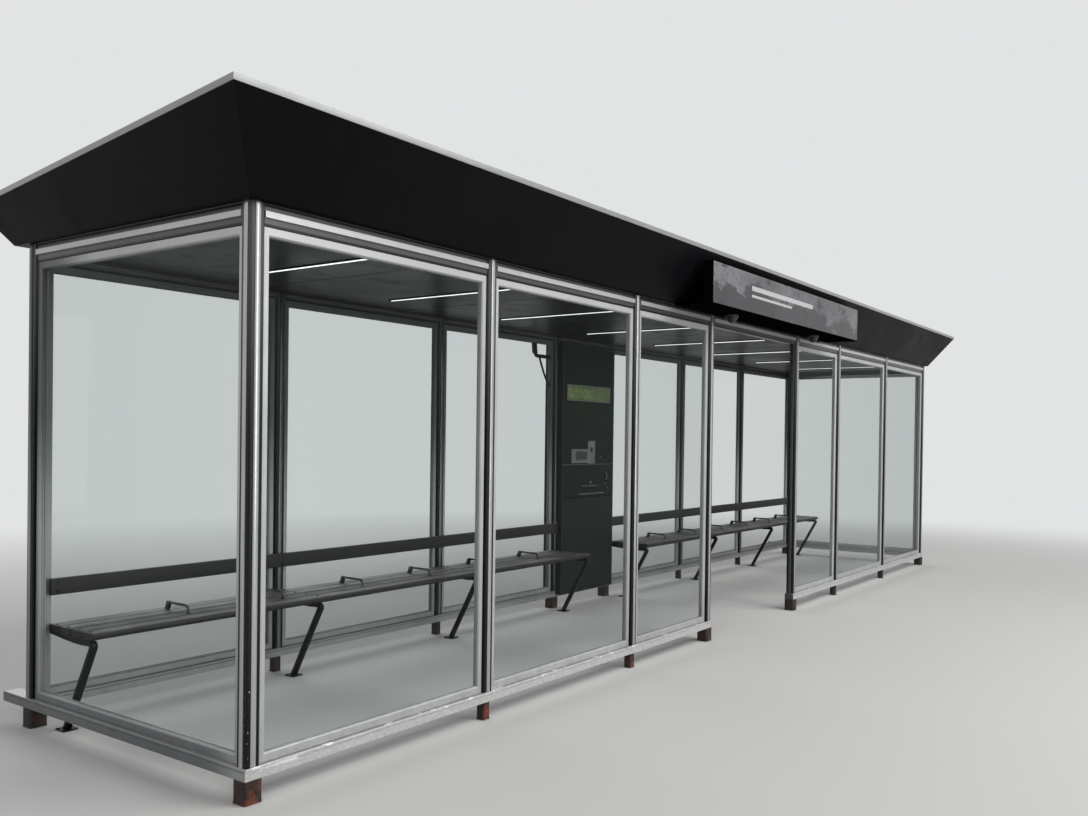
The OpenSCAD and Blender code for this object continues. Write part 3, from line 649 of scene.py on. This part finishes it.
frameSection, gasketSection = (glazing[key] + behind(glazing[key]) for key in ("frame", "gasket"))
bays = {wall: [(wall, a + half, b - half) for a, b in zip(plan[wall], plan[wall][1:])] for wall in wallY}
frameRows = {
    "frontFramesLeft": ("glazing_frames_front_left", bays["front"][:3]),
    "frontFramesRight": ("glazing_frames_front_right", bays["front"][4:]),
    "backFramesLeft": ("glazing_frames_back_left", bays["back"][:3]),
    "backFramesRight": ("glazing_frames_back_right", bays["back"][4:]),
    "endFrames": ("glazing_frames_ends", [(wall, 2 * half, plan["depth"] - 2 * half) for wall in ("left", "right")]),
}


def wallLoops(row, *sections):
    # one closed loop of each section round every bay
    return [onWall(pictureFrame((a, plan["railTop"]), (b, plan["frameTop"]), glazing["member"], section), wall)
            for wall, a, b in row for section in sections]


for name, (node, row) in frameRows.items():
    build(name, wallLoops(row, frameSection), "frameAluminium", [node], crease=20)
allBays = [bay for node, row in frameRows.values() for bay in row]
build("frameGaskets", wallLoops(allBays, gasketSection), "sealRubber")
build("glassSeals", wallLoops(allBays, glazing["seal"], behind(glazing["seal"])), "greySeal")
print("glazing frames done")

# ---- base rails: a box section with eased edges and a fine groove, mitred at the corners, capped at open ends
rail = dict(proud=0.004, wide=0.042, groove=(0.1374, 0.1418), deep=0.003, slope=0.0006, lowEase=0.0015, ease=0.0018,
            endEase=0.0011, capEase=0.0008, backEase=0.001, backEnd=2.117, doorEnd=4.161, cap=0.003, gap=0.0002,
            pin=0.0036, pinLow=0.001, pinTop=0.0006, inset=0.0803)
low, top, wide = plan["railLow"], plan["railTop"], rail["wide"]
grooveX, (grooveLow, grooveTop) = wide - rail["deep"], rail["groove"]
rightSide = np.array([(wide - rail["lowEase"], low), (wide, low + rail["lowEase"]), (wide, grooveLow),
                      (grooveX, grooveLow + rail["slope"]), (grooveX, grooveTop - rail["slope"]),
                      (wide, grooveTop), (wide, top - rail["ease"]), (wide - rail["ease"], top)])
railOutline = np.vstack([rightSide, rightSide[::-1] * (-1, 1)])
corner = carried(railOutline, [(half, rail["backEnd"], 0), (half, half, 0), (rail["doorEnd"], half, 0)], zAxis)
capOutline = rounded((-rail["proud"], low), (2 * half + rail["proud"], top), rail["ease"])


def railCap(axis, end):
    return prism(capOutline, axis, end + rail["gap"], end + rail["cap"], rail["capEase"])


pin = prism(circle(rail["pin"]) - rail["pin"] / 2, 2, low + rail["pinLow"], top + rail["pinTop"], rail["capEase"])
build("frontRails", bothEnds([solid(corner[1:], rail["endEase"]), railCap(0, rail["doorEnd"]), pin]), "railAluminium",
      ["base_rail_front"])
build("endRails", bothEnds([solid(corner[:2], rail["endEase"]), railCap(1, rail["backEnd"])]), "railAluminium",
      ["base_rail_ends"])
backRail = prism(railOutline + (wallY["back"], 0), 0, rail["inset"], plan["length"] - rail["inset"], rail["backEase"])
build("backRail", [backRail], "railAluminium", ["base_rail_back"])

# ---- feet: square tubes with rounded edges on small plates
foot = dict(strong=0.088, light=0.056, plate=0.006, margin=0.0015, bend=0.013, plateBend=0.012, plateEase=0.0015,
            tubeOver=0.0002, plateOver=0.0004)


def footShape(x, y, size):
    # a tube and its plate, as (half width, bend, low, top, ease)
    parts = [(size / 2, foot["bend"], foot["plate"], low + foot["tubeOver"], 0),
             (size / 2 + foot["margin"], foot["plateBend"], 0, foot["plate"] + foot["plateOver"], foot["plateEase"])]
    return [prism(rounded((x - r, y - r), (x + r, y + r), bend, 4), 2, *rest) for r, bend, *rest in parts]


feet = [shape for wall, y in wallY.items() for k, x in enumerate(plan[wall])
        for shape in footShape(x, y, foot["strong"] if k in (0, 3, 4, 7) else foot["light"])]
build("postFeet", feet, "footRust", ["feet"])
print("rails and feet done")

# ---- roof edge, seam caps and screws; the deck under them is the frame's own
trimSection = [(0.003, 0), (0.003, 0.0265), (0.0022, 0.029), (0, 0.03), (-0.022, 0.03), (-0.0243, 0.0288),
               (-0.025, 0.0265), (-0.025, 0)]
out, up = np.array(trimSection).T
front, back = roof["out"] + out, roof["backOut"] + out
cornerX = np.array([-front, plan["length"] + front, plan["length"] + back, -back])
cornerY = np.array([-front, -front, roof["back"] + out, roof["back"] + out])
trimPoints = np.stack([cornerX, cornerY, roofAt(cornerY) + up], -1).reshape(-1, 3)
build("roofTrim", [(trimPoints, gridFaces(4, len(out), True, True))], "trimAluminium", ["roof_trim"])

seam = dict(count=8, wide=0.011, low=0.0104, high=0.0155, foot=0.004, under=0.0095, thick=0.002, ease=0.001,
            front=-0.216, back=2.057)
wide, thin, pitch = seam["wide"], seam["wide"] - seam["thick"], plan["length"] / seam["count"]
seamOutline = np.vstack([arc((0, seam["low"]), (wide, seam["high"] - seam["low"]), 0, np.pi, 7),
                         [(-wide, seam["foot"]), (-thin, seam["foot"]), (-thin, seam["under"]), (thin, seam["under"]),
                          (thin, seam["foot"]), (wide, seam["foot"])]])
seamShape = prism(seamOutline, 1, seam["front"], seam["back"], seam["ease"])
seamSpots = [(k * pitch, 0, 0) for k in range(1, seam["count"])]
build("seamCaps", onRoof(repeat([seamShape], seamSpots)), "roofSheet")
screw = dict(rows=(-0.225, 0.6, 1.4, 2.066), each=3, outline=[
    (0.009, -0.0002), (0.009, 0.001), (0.006, 0.0014), (0.0055, 0.004), (0.003, 0.0052), (0, 0.0054)])
each = screw["each"]
screwSpots = [((k + 0.5) * pitch / each, y, 0) for k in range(each * seam["count"]) for y in screw["rows"]]
build("roofScrews", onRoof(repeat([lathe(screw["outline"], steps=10)], screwSpots)), "roofSheet")
print("roof done")

# ---- light strips: a shallow tray with a narrow opal cover and end caps
lamp = dict(count=8, pitch=1.15, y=(0.2, 1.4), tray=0.018, fold=0.002, side=2.4862, base=2.4836, opal=0.009,
            bulge=0.0036, top=2.49, low=2.4838, capHalf=0.0125, capLow=2.4801, capBend=0.0016, cap=0.012, rim=0.001,
            ease=0.0008)
side, (y0, y1), cap, ease = lamp["tray"], lamp["y"], lamp["cap"], lamp["ease"]
trayHalf = np.array([(side, lamp["top"]), (side, lamp["side"]), (side - lamp["fold"], lamp["base"])])
trayOutline = np.vstack([trayHalf * (-1, 1), trayHalf[::-1]])
opalOutline = arc((0, lamp["low"]), (lamp["opal"], -lamp["bulge"]), 0, np.pi, 9)
capOutline = rounded((-lamp["capHalf"], lamp["capLow"]), (lamp["capHalf"], lamp["low"]), lamp["capBend"])
capNear, capFar = y0 + lamp["rim"], y1 - lamp["rim"]
trayParts = [prism(trayOutline, 1, y0, y1, ease), prism(capOutline, 1, capNear, capNear + cap, ease),
             prism(capOutline, 1, capFar - cap, capFar, ease)]
lampSpots = [(middle + (k - (lamp["count"] - 1) / 2) * lamp["pitch"], 0, 0) for k in range(lamp["count"])]
build("lampCovers", repeat([prism(opalOutline, 1, y0 + cap, y1 - cap)], lampSpots), "lampOpal",
      ["ceiling_lamps"])
build("lampTrays", repeat(trayParts, lampSpots), "ceilingPaint")

# ---- sign: a printed panel in a thin tray edge; two dome cameras under it
sign = dict(x=(3.483, 6.443), z=(2.532, 2.835), y=(-0.334, -0.330), edge=0.006, bend=0.002, inset=0.005,
            panelBack=0.0006, ease=0.0004, section=[(0, 0, 0.0012), (0, 0.0012, 0), (1, -0.0008, 0), (1, 0, 0.0008),
                                                    (1, 0, 0.0045), (0, 0, 0.0045)])
(x0, x1), (z0, z1), (y0, y1), inset = sign["x"], sign["z"], sign["y"], sign["inset"]
panelOutline = rounded((x0 + inset, z0 + inset), (x1 - inset, z1 - inset), sign["bend"])
panel = prism(panelOutline, 1, y0 + sign["panelBack"], y1, sign["ease"])
build("signPanel", [panel], "signPrint", ["sign_face"])
edgeSection = [(share, offset, y0 + deep) for share, offset, deep in sign["section"]]
build("signEdges", [pictureFrame((x0, z0), (x1, z1), (sign["edge"],) * 2, edgeSection)], "signPaint")
dome = dict(apart=0.82, y=-0.15, low=2.508, r=0.04, lip=[(0.0425, 0.0006), (0.0425, -0.003), (0.04, -0.004)],
            base=[(0.052, 0.024), (0.052, 0.006), (0.0495, 0.0015), (0.045, 0), (0, 0)])
domeOutline = np.vstack([dome["lip"], arc((0, 0), (dome["r"], -dome["r"]), 0, np.pi / 2, 9)[1:]])
domeSpots = [(middle + way * dome["apart"], dome["y"], dome["low"]) for way in (-1, 1)]
bases, domes = (repeat([lathe(outline, steps=40)], domeSpots) for outline in (dome["base"], domeOutline))
build("cameraBases", bases, "cameraShell", ["camera_bases"])
build("cameraDomes", domes, "cameraGloss", ["camera_domes"])

# ---- camera beside the kiosk: a leaning housing on a flat arm that turns up into it, and a bowed brace
hook = dict(post=4.5, y=1.862, armZ=2.301, reach=0.247, bend=0.032, tip=0.05, half=0.0165, wide=0.008, brace=0.0095,
            braceOut=0.18, braceDrop=0.262, braceFrom=(0.003, 0.012), bow=0.62, housingX=(-0.274, -0.226),
            housingDeep=0.015, housingZ=(0.018, 0.115), housingBend=0.006, lean=-0.012, lens=(-0.257, 0.08),
            housingEase=0.004, plate=(-0.3, -0.245), plateHalf=0.012, plateThick=0.006, plateEase=0.001,
            barBend=0.003,
            lensOutline=[(0.009, 0.001), (0.009, -0.004), (0.007, -0.005), (0.006, -0.003), (0, -0.0022)])
px, py, pz = hook["post"], hook["y"], hook["armZ"]
s = np.linspace(0, 1, 15)
aside, down = hook["braceFrom"]
brace = np.stack([px - aside - hook["braceOut"] * s ** hook["bow"], 0 * s + py,
                  pz - down - hook["braceDrop"] * (1 - s)], 1)
elbow = arc((px - hook["reach"] + hook["bend"], pz + hook["bend"]), hook["bend"], -np.pi / 2, -np.pi, 7)
armPath = flatLoop([(px, pz), *elbow, (px - hook["reach"], pz + hook["tip"])], 1, py)
armBar = rounded((-hook["half"], -hook["wide"]), (hook["half"], hook["wide"]), hook["barBend"])
(a, b), deep, bend = hook["housingX"], hook["housingDeep"], hook["housingBend"]
housing = [flatLoop(rounded((px + a + lean, py - deep), (px + b + lean, py + deep), bend), 2, pz + z)
           for lean, z in zip((0, hook["lean"]), hook["housingZ"])]
r, (low, high) = hook["plateHalf"], hook["plate"]
plateOutline = rounded((py - r, pz + low), (py + r, pz + high), hook["barBend"])
build("bracketCamera", [
    solid(carried(circle(hook["brace"]), brace, yAxis)), solid(carried(armBar, armPath, yAxis)),
    solid(np.stack(housing), hook["housingEase"]),
    prism(plateOutline, 0, px - hook["plateThick"], px, hook["plateEase"]),
    lathe(hook["lensOutline"], (px + hook["lens"][0], py - deep, pz + hook["lens"][1]), 1, 16)],
      "benchSteel", ["camera_bracket"])
print("lamps, sign and cameras done")

# ---- benches: round-nosed slats, backrest boards, bent flat legs, armrests and bolt heads
bench = dict(x=(0.084, 4.48), y=1.38, deep=0.44, top=0.54, thick=0.038, slats=4, gap=0.01, nose=0.018, ease=0.006,
             endEase=0.003, boardEnd=4.541, board=(0.692, 0.782), boardThick=0.028)
ease, endEase, under, top = bench["ease"], bench["endEase"], bench["top"] - bench["thick"], bench["top"]
slat = (bench["deep"] - bench["gap"] * (bench["slats"] - 1)) / bench["slats"]
slatY = [bench["y"] + k * (slat + bench["gap"]) for k in range(bench["slats"])]
radii = [(bench["nose"], ease, ease, bench["nose"])] + [ease] * (bench["slats"] - 1)
slats = [prism(rounded((y, under), (y + slat, top), r, 5), 0, *bench["x"], endEase) for y, r in zip(slatY, radii)]
build("benchSlats", bothEnds(slats), "benchTimber", ["bench_seats"])
boardY = plan["depth"] - 2 * half - bench["boardThick"]
(z0, z1), start = bench["board"], bench["x"][0]
boardOutline = rounded((boardY, z0), (boardY + bench["boardThick"], z1), ease, 4)
board = prism(boardOutline, 0, start, bench["boardEnd"], endEase)
build("backrestBoards", bothEnds([board]), "benchTimber", ["bench_backrests"])

# a leg is a flat bar: it tapers under the seat (barY, barHalf), bends at the knee and leans to a small plate
leg = dict(x=[0.104, 1.534, 3.004, 4.46], wide=0.017, half=0.0148, knee=(0.042, 0.034), reach=0.258,
           plateHalf=(0.04, 0.045), plateBend=0.008, plateThick=0.006, plateEase=0.001, endZ=(0.005, 0.003),
           barY=[1.82, 1.74, 1.66, 1.58, 1.50, 1.45], barHalf=[0.007, 0.0105, 0.0142, 0.0168, 0.018, 0.0165],
           edge=[(-1, 0.004, -1), (-1, 0.001, -0.92), (-1, 0, -0.8), (-1, 0, 0.8), (-1, 0.001, 0.92), (-1, 0.004, 1)])
kneeY, kneeZ = bench["y"] + leg["knee"][0], under - leg["knee"][1]
lean = math.atan2(leg["reach"], kneeZ - leg["plateThick"])
kneePath = arc((kneeY, kneeZ), leg["half"], np.pi / 2, np.pi + lean, 9)
drop = (kneePath[-1, 1] - leg["endZ"][0]) / math.cos(lean)
legEnd = kneePath[-1] + drop * np.array([math.sin(lean), -math.cos(lean)])
barHalf = np.array(leg["barHalf"])
legPath = np.vstack([np.stack([leg["barY"], under - barHalf], 1), kneePath, [legEnd]])
legHalf = np.concatenate([barHalf, np.full(len(kneePath) + 1, leg["half"])])
side, nudge, across = np.vstack([leg["edge"], -np.array(leg["edge"])]).T
wideParts = np.broadcast_to(across * leg["wide"], (len(legHalf), len(side)))
legLoops = carried(np.stack([side * legHalf[:, None] + nudge, wideParts], -1), flatLoop(legPath, 0, 0), xAxis)
legLoops[-1] += (legLoops[-1][:, 2:] - leg["endZ"][1]) * (0, math.tan(lean), -1)   # the end is cut level
footX, footY = leg["plateHalf"]
plateOutline = rounded((-footX, legEnd[0] - footY), (footX, legEnd[0] + footY), leg["plateBend"])
plateShape = prism(plateOutline, 2, 0, leg["plateThick"], leg["plateEase"])
legSpots = [(x, 0, 0) for x in leg["x"]]
build("benchLegs", bothEnds(repeat([solid(legLoops), plateShape], legSpots)), "benchSteel",
      ["bench_legs", "bench_crossbars"])

arm = dict(first=0.704, step=0.64, count=6, front=1.53, back=1.758, top=0.581, bend=0.03, r=0.0078, lean=0.02,
           sunk=0.001, stop=0.03, plateHalf=0.009, plateDeep=0.036, plateHigh=0.05, plateBend=0.004, plateEase=0.003,
           disc=[(0.018, 0), (0.018, 0.002), (0.015, 0.0035), (0, 0.0035)])
front, back, bend = arm["front"], arm["back"], arm["bend"]
armPath = np.vstack([[(front, top - arm["sunk"])], arc((front + bend, arm["top"] - bend), bend, np.pi, np.pi / 2, 9),
                     [(back - arm["stop"], arm["top"])]])
r, deep = arm["plateHalf"], arm["plateDeep"]
rearPlate = [flatLoop(rounded((-r, back - deep - shift), (r, back - shift), arm["plateBend"]), 2, z)
             for shift, z in ((0, top), (arm["lean"], top + arm["plateHigh"]))]
armParts = [solid(carried(circle(arm["r"], 14), flatLoop(armPath, 0, 0), xAxis)),
            solid(np.stack(rearPlate), arm["plateEase"]), lathe(arm["disc"], (0, front, top), 2, 20)]
armSpots = [(arm["first"] + k * arm["step"], 0, 0) for k in range(arm["count"])]
build("armRests", bothEnds(repeat(armParts, armSpots)), "armSteel", ["bench_armrests"])

bolt = dict(outline=[(0.009, -0.0003), (0.009, 0.0012), (0.0065, 0.003), (0.003, 0.0038), (0, 0.0039)], nose=0.004,
            foot=(0.03, 0.028), boardX=(0.12, 1.538, 3.038, 4.5), boardZ=(0.714, 0.76))
boltDown = lathe(bolt["outline"], steps=14)
boltAhead = lathe(np.array(bolt["outline"]) * (1, -1), axis=1, steps=14)
(aside, back), boltY = bolt["foot"], [y + slat / 2 for y in slatY]
boltY[0] += bolt["nose"]
bolts = repeat([boltDown], [(x, y, top) for x in leg["x"] for y in boltY])
footBolts = [(x + way, legEnd[0] + back, leg["plateThick"]) for x in leg["x"] for way in (-aside, aside)]
bolts += repeat([boltDown], footBolts)
bolts += repeat([boltAhead], [(x, boardY, z) for x in bolt["boardX"] for z in bolt["boardZ"]])
build("benchBolts", bothEnds(bolts), "benchSteel")
print("benches done")

# ---- kiosk: panels, a lit display, a screen, a card plate, a tray lip, a handle and small round bits
# a plate is left and right as shares of the width, low, high, how proud it stands, its bend, ease and sunk depth
kiosk = dict(left=4.543, wide=0.84, front=1.76, back=1.99, cuts=[0.14, 1.008, 1.316, 2.42], inset=0.023, gap=0.003,
             deep=0.03, ease=0.002, backX=(4.6, 5.326), backCuts=[0.157, 1.008, 1.316, 2.45], backGap=0.006,
             backY=(-0.001, 0.003), backEase=0.0012, bend=0.006,
             display=(0.085, 0.905, 1.92, 2.054, 0.002, 0.004, 0.0008),
             frame=((0.075, 1.912), (0.915, 2.062)), frameWide=(0.009, 0.009),
             bezel=[(0, 0, 0.0015), (0, 0.0012, 0.0035), (1, -0.0012, 0.0035), (1, 0, 0.0023), (1, 0, 0), (0, 0, 0)],
             screenFrame=(0.165, 0.475, 1.33, 1.462, 0.004), cardPlate=(0.475, 0.615, 1.322, 1.54, 0.005, 0.006),
             slot=(0.37, 0.685, 1.108, 1.114, 0.004, 0.002, 0.001), lip=(0.295, 0.775), lipDeep=0.02,
             line=(0.0, 1.0, 1.3135, 1.3185, 0.0015, 0.001, 0.0005, 0.012), handle=(0.8325, 1.204), handleR=0.005,
             handleOut=(-0.021, 0.04), knobs=[(0.535, 1.145, 0.012), (0.72, 1.384, 0.008), (0.825, 1.126, 0.009),
                                              (0.875, 1.09, 0.008)],
             screen=(0.245, 0.462, 1.362, 1.438, 0.0052, 0.003, 0.0006, -0.0036), reader=(0.545, 0.005, 1.455),
             readerOutline=[(0.024, 0), (0.024, -0.0008), (0.022, -0.0014), (0, -0.0014)])
face = kiosk["front"]


def kioskX(share):
    return kiosk["left"] + share * kiosk["wide"]


def kioskPlate(left, right, low, high, proud, r=0.003, ease=0.0012, sunk=0.001):
    # a small plate on the kiosk's front, by its share of the width and its heights
    return prism(rounded((kioskX(left), low), (kioskX(right), high), r), 1, face - proud, face + sunk, ease)


def kioskPanels(x0, x1, cuts, gap, y0, y1, ease):
    # panels one above another with a gap at each cut
    return [prism(rounded((x0, a + gap), (x1, b - gap), kiosk["bend"]), 1, y0, y1, ease)
            for a, b in zip(cuts, cuts[1:])]


x0, x1, back = kiosk["left"] + kiosk["inset"], kiosk["left"] + kiosk["wide"] - kiosk["inset"], kiosk["back"]
build("kioskPanels", kioskPanels(x0, x1, kiosk["cuts"], kiosk["gap"], face, face + kiosk["deep"], kiosk["ease"]),
      "kioskGloss", ["kiosk_doors"])
backY = [back + shift for shift in kiosk["backY"]]
build("kioskBackPanels", kioskPanels(*kiosk["backX"], kiosk["backCuts"], kiosk["backGap"], *backY, kiosk["backEase"]),
      "kioskPaint")
build("kioskDisplayBand", [kioskPlate(*kiosk["display"])], "kioskDisplay", ["kiosk_fittings"])
bezel = [(share, offset, face - deep) for share, offset, deep in kiosk["bezel"]]
(left, low), (right, high) = kiosk["frame"]
outside = arc((face, 1.042), (-kiosk["lipDeep"], -0.014), np.pi / 2, 0, 8)
within = arc((face, 1.0425), (-kiosk["lipDeep"] + 0.0025, -0.012), 0, np.pi / 2, 8)
lip = np.vstack([outside, [(outside[-1, 0], 1.0445), (within[0, 0], 1.0445)], within])
gripX, gripZ = kiosk["handle"]
grip = flatLoop(arc((face, gripZ), kiosk["handleOut"], -np.pi / 2, np.pi / 2, 9), 0, kioskX(gripX))
grip = np.vstack([grip[:1] + (0, 0.002, 0), grip, grip[-1:] + (0, 0.002, 0)])
build("kioskTrim", [
    pictureFrame((kioskX(left), low), (kioskX(right), high), kiosk["frameWide"], bezel),
    kioskPlate(*kiosk["screenFrame"]), kioskPlate(*kiosk["cardPlate"]), prism(lip, 0, *map(kioskX, kiosk["lip"])),
    kioskPlate(*kiosk["slot"]), kioskPlate(*kiosk["line"]), solid(carried(circle(kiosk["handleR"], 10), grip, xAxis)),
    *[lathe([(r, 0.001), (r, -0.005), (r - 0.0015, -0.007), (0, -0.0072)], (kioskX(share), face, z), 1, 18)
      for share, z, r in kiosk["knobs"]]], "kioskSteel")
x, proud, z = kiosk["reader"]
reader = lathe(kiosk["readerOutline"], (kioskX(x), face - proud, z), 1)
build("kioskScreen", [kioskPlate(*kiosk["screen"]), reader], "cameraGloss")
print("kiosk done")

# ---- camera, at the photograph's viewing angle
view = dict(eye=(-2.4817, -3.4975, 1.5722), yaw=0.98426, pitch=-0.0094, roll=0.01386, focal=955.1,
            centre=(615.97, 446.86), size=(1088, 816), sensor=36, far=300)
camData = bpy.data.cameras.new("shelterView")
camera = bpy.data.objects.new("shelterView", camData)
bpy.context.collection.objects.link(camera)
yaw, pitch, roll = view["yaw"], view["pitch"], view["roll"]
ahead = Vector((math.sin(yaw) * math.cos(pitch), math.cos(yaw) * math.cos(pitch), math.sin(pitch)))
right = Vector((math.cos(yaw), -math.sin(yaw), 0))
upward = right.cross(ahead)
c, s = math.cos(roll), math.sin(roll)
turned = Matrix((right * c + upward * s, upward * c - right * s, -ahead)).transposed()
camera.matrix_world = Matrix.Translation(Vector(home) + Vector(view["eye"])) @ turned.to_4x4()
(width, height), (centreX, centreY) = view["size"], view["centre"]
camData.sensor_width = view["sensor"]
camData.lens = view["focal"] / width * view["sensor"]
camData.shift_x = (width / 2 - centreX) / width
camData.shift_y = (centreY - height / 2) / width
camData.clip_end = view["far"]
bpy.context.scene.camera = camera

# ---- floor, air and lamps
room = dict(floor=tone(206, 205, 203), half=90, drop=0.002, fade=(6, 12.5), frontFade=(4.6, 7.4),
            air=(0.87, 0.88, 0.9, 1), airStrength=0.36, seen=tone(226, 227, 228))


def seenRays(tree):
    # 1 for rays that look at the background: from the camera, from gloss and through glass
    kinds = ("Is Camera Ray", "Is Glossy Ray", "Is Transmission Ray")
    camera, gloss, through = (put(tree, "LightPath", output=kind) for kind in kinds)
    return reckon("MAXIMUM", camera, reckon("MAXIMUM", gloss, through))


floorMesh = bpy.data.meshes.new("paleFloor")
r, drop = room["half"], -room["drop"]
floorMesh.from_pydata([(-r, -r, drop), (r, -r, drop), (r, r, drop), (-r, r, drop)], [], [(0, 1, 2, 3)])
floor = bpy.data.objects.new("paleFloor", floorMesh)
bpy.context.collection.objects.link(floor)
mat, shader, where = startMaterial("paleFloor")
tree = where.tree
feed(shader, {"Base Color": room["floor"], "Roughness": 0.9})
far = ramp(put(tree, "VectorMath", {0: where}, "Value", operation="LENGTH"), *room["fade"])
far = reckon("MAXIMUM", far, ramp(along(where, 1) * -1.0, *room["frontFade"]))
haze = put(tree, "Emission", {"Color": room["seen"], "Strength": 1.0})
faded = put(tree, "MixShader", {0: far * seenRays(tree), 1: Wire(shader.outputs[0]), 2: haze})
feed(tree.nodes["Material Output"], {"Surface": faded})
floorMesh.materials.append(mat)

world = bpy.data.worlds.new("studioAir")
world.use_nodes = True
bpy.context.scene.world = world
tree = world.node_tree
tree.nodes.clear()
lit = put(tree, "Background", {"Color": room["air"], "Strength": room["airStrength"]})
seen = put(tree, "Background", {"Color": room["seen"], "Strength": 1.0})
air = put(tree, "MixShader", {0: seenRays(tree), 1: lit, 2: seen})
feed(tree.nodes.new("ShaderNodeOutputWorld"), {"Surface": air})

# each lamp: place, aim, size, power
lamps = {
    "frontSoftbox": ((1, -9, 10), (0, 0, 1.2), (10, 6), 980),
    "frontStrip": ((-0.7, -9, 2.8), (-4, 0, 1.6), (2.2, 5), 150),
    "leftSoftbox": ((-12, -3, 7), (-3, 0, 1.2), (6, 5), 190),
    "backSoftbox": ((3, 10, 8), (0, 0, 1.2), (10, 5), 500),
}
for name, (place, aim, size, power) in lamps.items():
    data = bpy.data.lights.new(name, "AREA")
    data.shape, data.energy = "RECTANGLE", power
    data.size, data.size_y = size
    box = bpy.data.objects.new(name, data)
    bpy.context.collection.objects.link(box)
    turn = (Vector(aim) - Vector(place)).to_track_quat("-Z", "Y").to_matrix()
    box.matrix_world = Matrix.Translation(place) @ turn.to_4x4()
bpy.context.scene.view_settings.view_transform = "Standard"
print("camera and light ready")
